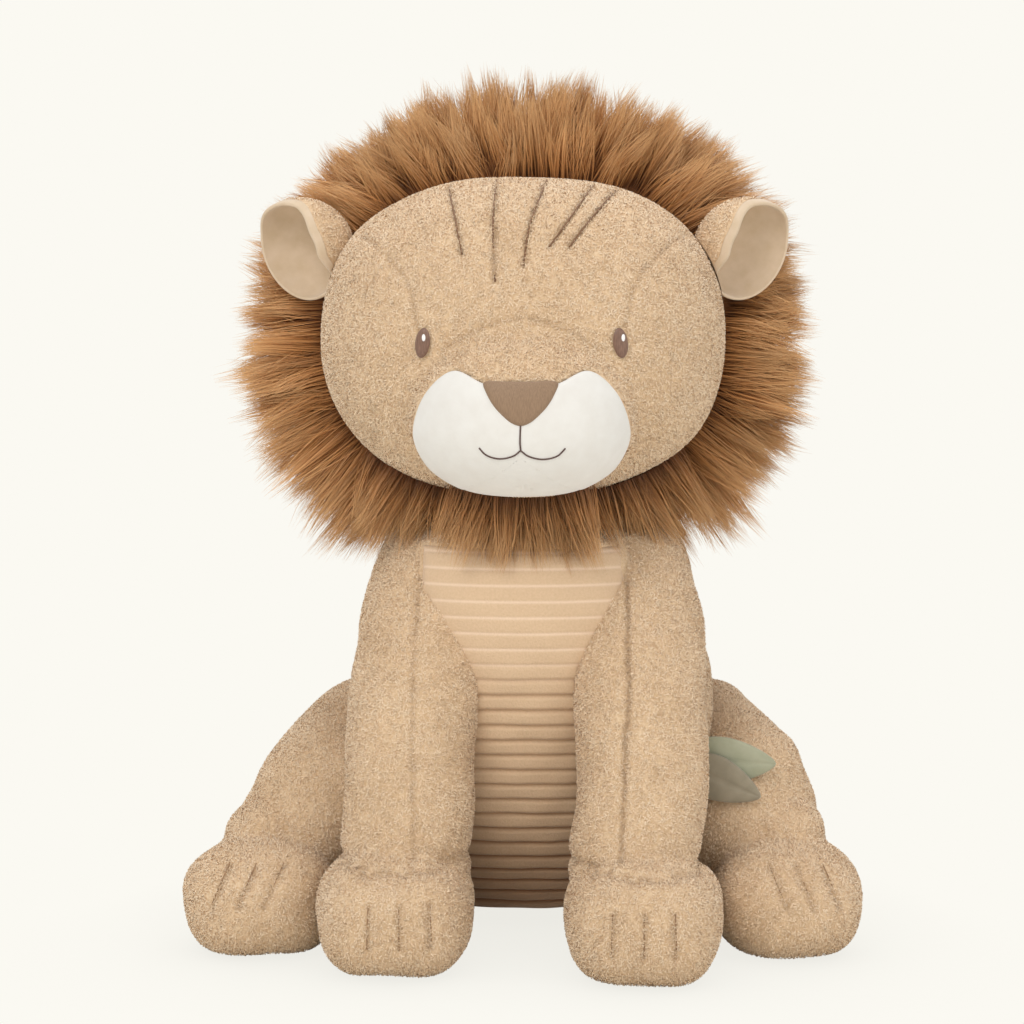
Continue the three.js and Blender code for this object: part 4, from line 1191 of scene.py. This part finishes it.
def mane_roots():
    """Roots of the locks on the mane's cloth, with their directions and lengths."""
    core = plump(MANE_AT + (0, 14, 0), MANE_CORE_HALF, 2.05, 2.6, 160, 110)
    verts, quads = welded([core], 3.0)
    verts = relax(verts, quads, 3)
    verts = press(verts, TORSO_TREE, CORE_CLEARANCE)
    at, up = scattered(verts, quads, LOCKS_PER_MM2, np.random.default_rng(61))
    shown = hair_room(at) > 0
    at, up = at[shown], up[shown]
    centre = HEAD_AT + (0, 40, 5)
    radial = unit((at - centre) * (1, 0.12, 1))
    front = np.clip((centre[1] - at[:, 1]) / 60 + 0.5, 0, 1)[:, None]
    way = up * (0.75 - 0.25 * front) + radial * (0.5 + 0.7 * front)
    angle = np.degrees(np.arctan2(at[:, 2] - HEAD_AT[2], at[:, 0])) % 360
    reach = np.interp(angle, list(MANE_REACH), list(MANE_REACH.values()), period=360)[:, None]
    length = (LOCK_LENGTH - LOCK_SHORTER_BEHIND * (1 - front)) * (1 + (reach - 1) * np.clip(2 * front, 0, 1))
    return verts, quads, at, up, way, length


def chin_roots():
    """Roots of the locks on the underside of the chin, with their directions and lengths."""
    at, up = scattered(head_verts, head_quads, CHIN_LOCKS_PER_MM2, np.random.default_rng(62))
    foremost = -116 - 34 * (1 - ease(np.abs(at[:, 0]), 28, 52))
    low = (at[:, 2] < HEAD_AT[2] - 72) & (at[:, 1] < -86) & (at[:, 1] > foremost) & (up[:, 2] < -0.8)
    at, up = at[low], up[low]
    outward = np.stack([at[:, 0] / 120, np.full(len(at), -0.12), np.full(len(at), -1.0)], -1)
    return at, up, unit(outward) + up * 0.2, np.full((len(at), 1), CHIN_LOCK_LENGTH)


def mane_objects():
    verts, quads, *locks = mane_roots()
    backing = new_object("mane_cloth", verts, quads.tolist(), HAIR_CLOTH)
    dress(backing, "head", "fur", "mane_ruff", "mane_back", fill=0.8)
    chin = chin_roots()
    at, up, way, length = (np.vstack(pair) for pair in zip(locks, chin))
    rng = np.random.default_rng(63)
    way = unit(way + flow(at, 70, 90) * 0.16 + rng.normal(size=at.shape) * 0.09)
    length = length * rng.uniform(0.8, 1.15, (len(at), 1))
    shade = rng.random((len(at), 1))
    # painted shade: the locks under the chin are darker, where the head shades them
    shade[-len(chin[0]) :] *= 0.25
    # painted light: the locks on the lion's right, which faces the key lamp, are lighter
    shade += 0.4 * ease(-at[:, :1], 60, 110)
    left, ahead = at[:, 0] >= 0, at[:, 1] < HEAD_AT[1] + 40
    groups = {
        "front_left": ahead & left,
        "front_right": ahead & ~left,
        "back_left": ~ahead & left,
        "back_right": ~ahead & ~left,
    }
    for k, (key, chosen) in enumerate(groups.items()):
        own = [values[chosen] for values in (at, up, way, length, shade)]
        dress(locks_of(f"mane_{key}", *own, 70 + k), "head", "fur")


def trimmed(line, rng):
    """Strands (lock, strand, station, axis) cut back to the mane's outline, each a little differently."""
    off = (line - HEAD_AT)[..., ::2]
    far = np.linalg.norm(off, axis=-1)
    angle = np.degrees(np.arctan2(off[..., -1, 1], off[..., -1, 0])) % 360
    limit = np.interp(angle, list(MANE_TRIM), list(MANE_TRIM.values()), period=360)
    limit *= rng.uniform(0.95, 1.05, (len(line), 1)) * rng.uniform(0.96, 1.04, angle.shape)
    share = (limit - far[..., 0]) / np.maximum(far[..., -1] - far[..., 0], 1)
    keep = np.where(far[..., -1] > limit, np.clip(share, 0.3, 1), 1)[..., None, None]
    root = line[..., :1, :]
    return root + (line - root) * keep


def locks_of(name, at, up, way, length, shade, seed):
    """Tapered strands that start round each lock's root and gather towards its tip."""
    rng = np.random.default_rng(seed)
    count = len(at)
    side = unit(np.cross(way, up) + 1e-6)
    other = np.cross(way, side)
    t = np.linspace(0, 1, STATIONS)[None, None, :, None]
    spread = rng.normal(size=(count, STRANDS, 2)) * STRAND_SPREAD
    root = at[:, None] + side[:, None] * spread[..., :1] + np.cross(up, side)[:, None] * spread[..., 1:]
    long = length[:, None] * rng.uniform(0.62, 1.12, (count, STRANDS, 1))
    gather = rng.uniform(0.15, 0.75, (count, STRANDS, 1))
    tip_off = (side[:, None] * spread[..., :1] + other[:, None] * spread[..., 1:]) * gather
    start = unit(up[:, None] * 0.8 + way[:, None])
    bend = rng.normal(size=(count, 1, 3)) * LOCK_BEND
    tip = at[:, None] + way[:, None] * long + tip_off + bend
    tip[..., 2] -= LOCK_SAG
    middle = root + start * long * 0.5
    root, middle, tip = root[:, :, None], middle[:, :, None], tip[:, :, None]
    line = root * (1 - t) ** 2 + 2 * middle * t * (1 - t) + tip * t * t
    wave = np.sin(t * rng.uniform(3, 6, (count, 1, 1, 1)) + rng.uniform(0, 6, (count, 1, 1, 1)))
    line = line + side[:, None, None] * wave * t * 1.4
    line = trimmed(line, rng).reshape(count * STRANDS, STATIONS, 3)
    line = line + rng.normal(size=(len(line), 1, 3)) * 0.9 * t[0] ** 2
    line = clear_of_ears(line)
    ahead = unit(np.gradient(line, axis=1))
    facing = np.repeat(up, STRANDS, axis=0)[:, None] + rng.normal(size=(len(line), 1, 3)) * 0.3
    edge = unit(np.cross(ahead, facing))
    taper = np.interp(np.linspace(0, 1, STATIONS), [0, 0.1, 0.6, 0.85, 1], [0.8, 1, 0.85, 0.5, 0.06])
    across = edge * STRAND_HALF_WIDTH * taper[None, :, None]
    along = np.broadcast_to(t[0, 0, :, 0][None], (len(line), STATIONS))
    lock = np.repeat(shade, STRANDS)[:, None]
    return ribbons(name, line, across, HAIR_STRAND, {"along": along, "lock": lock})


# Tail and leaves


def tail_spine():
    out_shares = (0, 0.33, 0.69, 0.94, 1, 1.01, 1, 0.95)
    swing_shares = (0, 1, 1, 0.1, 0, 0, 0, 0)
    ahead_shares = (0, 0, 0, 0.03, 0.36, 0.66, 0.87, 1)
    rise_shares = (0, 0.05, 0.31, 0.71, 1, 0.9)
    fall_shares = (0.42, 0)
    root_y, root_z, top, tip_z, reach, swing, out = 62, 62, 162.5, 108, 111, 22, 105.5
    heights = [root_z + (top - root_z) * s for s in rise_shares]
    heights += [tip_z + (top - tip_z) * s for s in fall_shares]
    return [
        (out * o, root_y + swing * w - (root_y + reach) * a, h)
        for o, w, a, h in zip(out_shares, swing_shares, ahead_shares, heights)
    ]


def tail_form():
    radii = (9.5, 9.5, 9.5, 9.5, 6.8)
    verts, quads = welded([limb(tail_spine(), radii, radii, (0.4, 0.1, 1), radii[-1], 40, 180)], 1.8)
    return relax(verts, quads, 2), quads


def tail_objects():
    verts, quads = tail_form()
    skin = new_object("tail_cloth", verts, quads.tolist(), BACKING)
    dress(skin, "tail", "coat", "tail_skin", "tail_fill", fill=0.7)
    dress(loops("tail_pile", verts, quads, 81), "tail", "coat")
    tip = np.array(tail_spine()[-1])
    for name, size, angle, place, material in (
        ("upper", (56, 12.5, 5.2), -3, 1, LEAF_UPPER), ("lower", (50, 11.5, 5.2), -23, -1, LEAF_LOWER)
    ):
        verts, faces = leaf_form(*size, angle)
        verts = verts + tip + (0, place * 3.0, 3.5 + place * 2.0)
        leaf = new_object(f"leaf_{name}_velour", verts, faces, material)
        dress(leaf, "tuft", "sage", f"leaf_{name}", fill=0.5)


def leaf_form(length, half_width, thick, angle):
    """A padded leaf of two layers, sewn round its edge, with a fold along its middle."""
    s = np.linspace(0, 1, 60)
    wide = half_width * 1.3 * np.sin(np.pi * s**0.8) ** 0.62 * (1 - 0.25 * s)
    turn = full_turn(48)
    flat = np.cos(turn)
    fold = 1 - 0.3 * np.exp(-((flat / 0.12) ** 2))
    round_off = np.sign(np.sin(turn)) * np.abs(np.sin(turn)) ** 0.7
    puff = thick / 2 * np.sqrt(np.maximum(1 - np.abs(2 * s - 1) ** 3, 0))
    x = (s * length - 4)[:, None]
    y = round_off * puff[:, None] * fold
    z = flat * wide[:, None]
    a = math.radians(angle)
    rings = [x * math.cos(a) - z * math.sin(a), y, x * math.sin(a) + z * math.cos(a)]
    return loft(np.stack(rings, -1))


# Neck


def neck_object():
    verts, faces = plump((0, -TORSO["lean"], TORSO["height"]), (NECK_RADIUS,) * 3, 2, None, 60, 40)
    dress(new_object("neck_cloth", verts, faces, BACKING), "neck", "coat", "neck_fill", fill=0.9)


# Studio


GLOW = 0.62
FLOOR_HALF = 6000.0
LAMPS = [  # name, place, aim, size and power
    ("key", (-0.7, -1.7, 1.7), (0, -0.05, 0.28), 1.2, 19.5),
    ("fill", (1.2, -1.3, 1.0), (0, -0.05, 0.28), 1.4, 6.3),
    ("top", (0, 0.3, 1.9), (0, 0, 0.3), 1.0, 8),
]
PICTURE, FOCAL = 1024, 2428  # the picture's width and the lens's focal length, in pixels
CAMERA_AT = (0.020, -1.558, 0.360)
CAMERA_DOWN, CAMERA_ASIDE = 3.85, 1.06  # degrees


def seen_directly(tree):
    """1 for rays that show the backdrop: from the camera, or by a reflection or through something."""
    path = add_node(tree, "ShaderNodeLightPath").outputs
    total = path["Is Camera Ray"]
    for name in ("Is Glossy Ray", "Is Transmission Ray"):
        total = add_node(tree, "ShaderNodeMath", {0: total, 1: path[name]}, operation="MAXIMUM").outputs[0]
    return total


def backdrop():
    """An even light all round, and a floor that shows nothing but soft contact shadows."""
    pale = linear(BACKDROP)
    bpy.context.scene.view_settings.view_transform = "Standard"
    world = bpy.context.scene.world = bpy.data.worlds.new("studio")
    world.use_nodes = True
    tree = world.node_tree
    tree.nodes.clear()
    glow = add_node(tree, "ShaderNodeBackground", {"Color": (1, 1, 1, 1), "Strength": GLOW})
    seen = add_node(tree, "ShaderNodeBackground", {"Color": pale})
    inputs = {0: seen_directly(tree), 1: glow.outputs[0], 2: seen.outputs[0]}
    mix = add_node(tree, "ShaderNodeMixShader", inputs)
    add_node(tree, "ShaderNodeOutputWorld", {"Surface": mix.outputs[0]})

    n = Nodes("floor")
    shade = n.add("ShaderNodeAmbientOcclusion", {"Distance": 0.12, "Color": (1, 1, 1, 1)}, samples=8)
    soft = n.add("ShaderNodeMapRange", {"Value": shade.outputs["AO"], "To Min": 0.86}).outputs[0]
    tone = n.add("ShaderNodeEmission", {"Color": pale, "Strength": soft})
    plain = n.add("ShaderNodeBsdfDiffuse", {"Color": pale})
    both = n.add("ShaderNodeMixShader", {0: seen_directly(n.tree), 1: plain.outputs[0], 2: tone.outputs[0]})
    n.tree.links.new(both.outputs[0], n.tree.nodes["Material Output"].inputs["Surface"])
    w = FLOOR_HALF
    floor = new_object("floor", [(-w, -w, 0), (w, -w, 0), (w, w, 0), (-w, w, 0)], [[0, 1, 2, 3]], n.material)
    floor.location.z = -0.0005


def lamps_and_camera():
    for name, at, aim, size, power in LAMPS:
        light = bpy.data.lights.new(name, "AREA")
        light.shape = "DISK"
        light.size = size
        light.energy = power
        obj = linked(name, light)
        obj.location = at
        obj.rotation_euler = (Vector(aim) - Vector(at)).to_track_quat("-Z", "Y").to_euler()
    camera = bpy.data.cameras.new("camera")
    camera.sensor_width = 36
    camera.lens = FOCAL / PICTURE * camera.sensor_width
    obj = linked("camera", camera)
    obj.location = CAMERA_AT
    obj.rotation_euler = (math.radians(90 - CAMERA_DOWN), 0, math.radians(CAMERA_ASIDE))
    bpy.context.scene.camera = obj


backdrop()
lamps_and_camera()
torso_objects()
for each_side in SIDES:
    foreleg_objects(each_side)
for each_side in SIDES:
    hindleg_objects(each_side)
neck_object()
head_objects()
for each_side in SIDES:
    ear_objects(each_side)
mane_objects()
tail_objects()
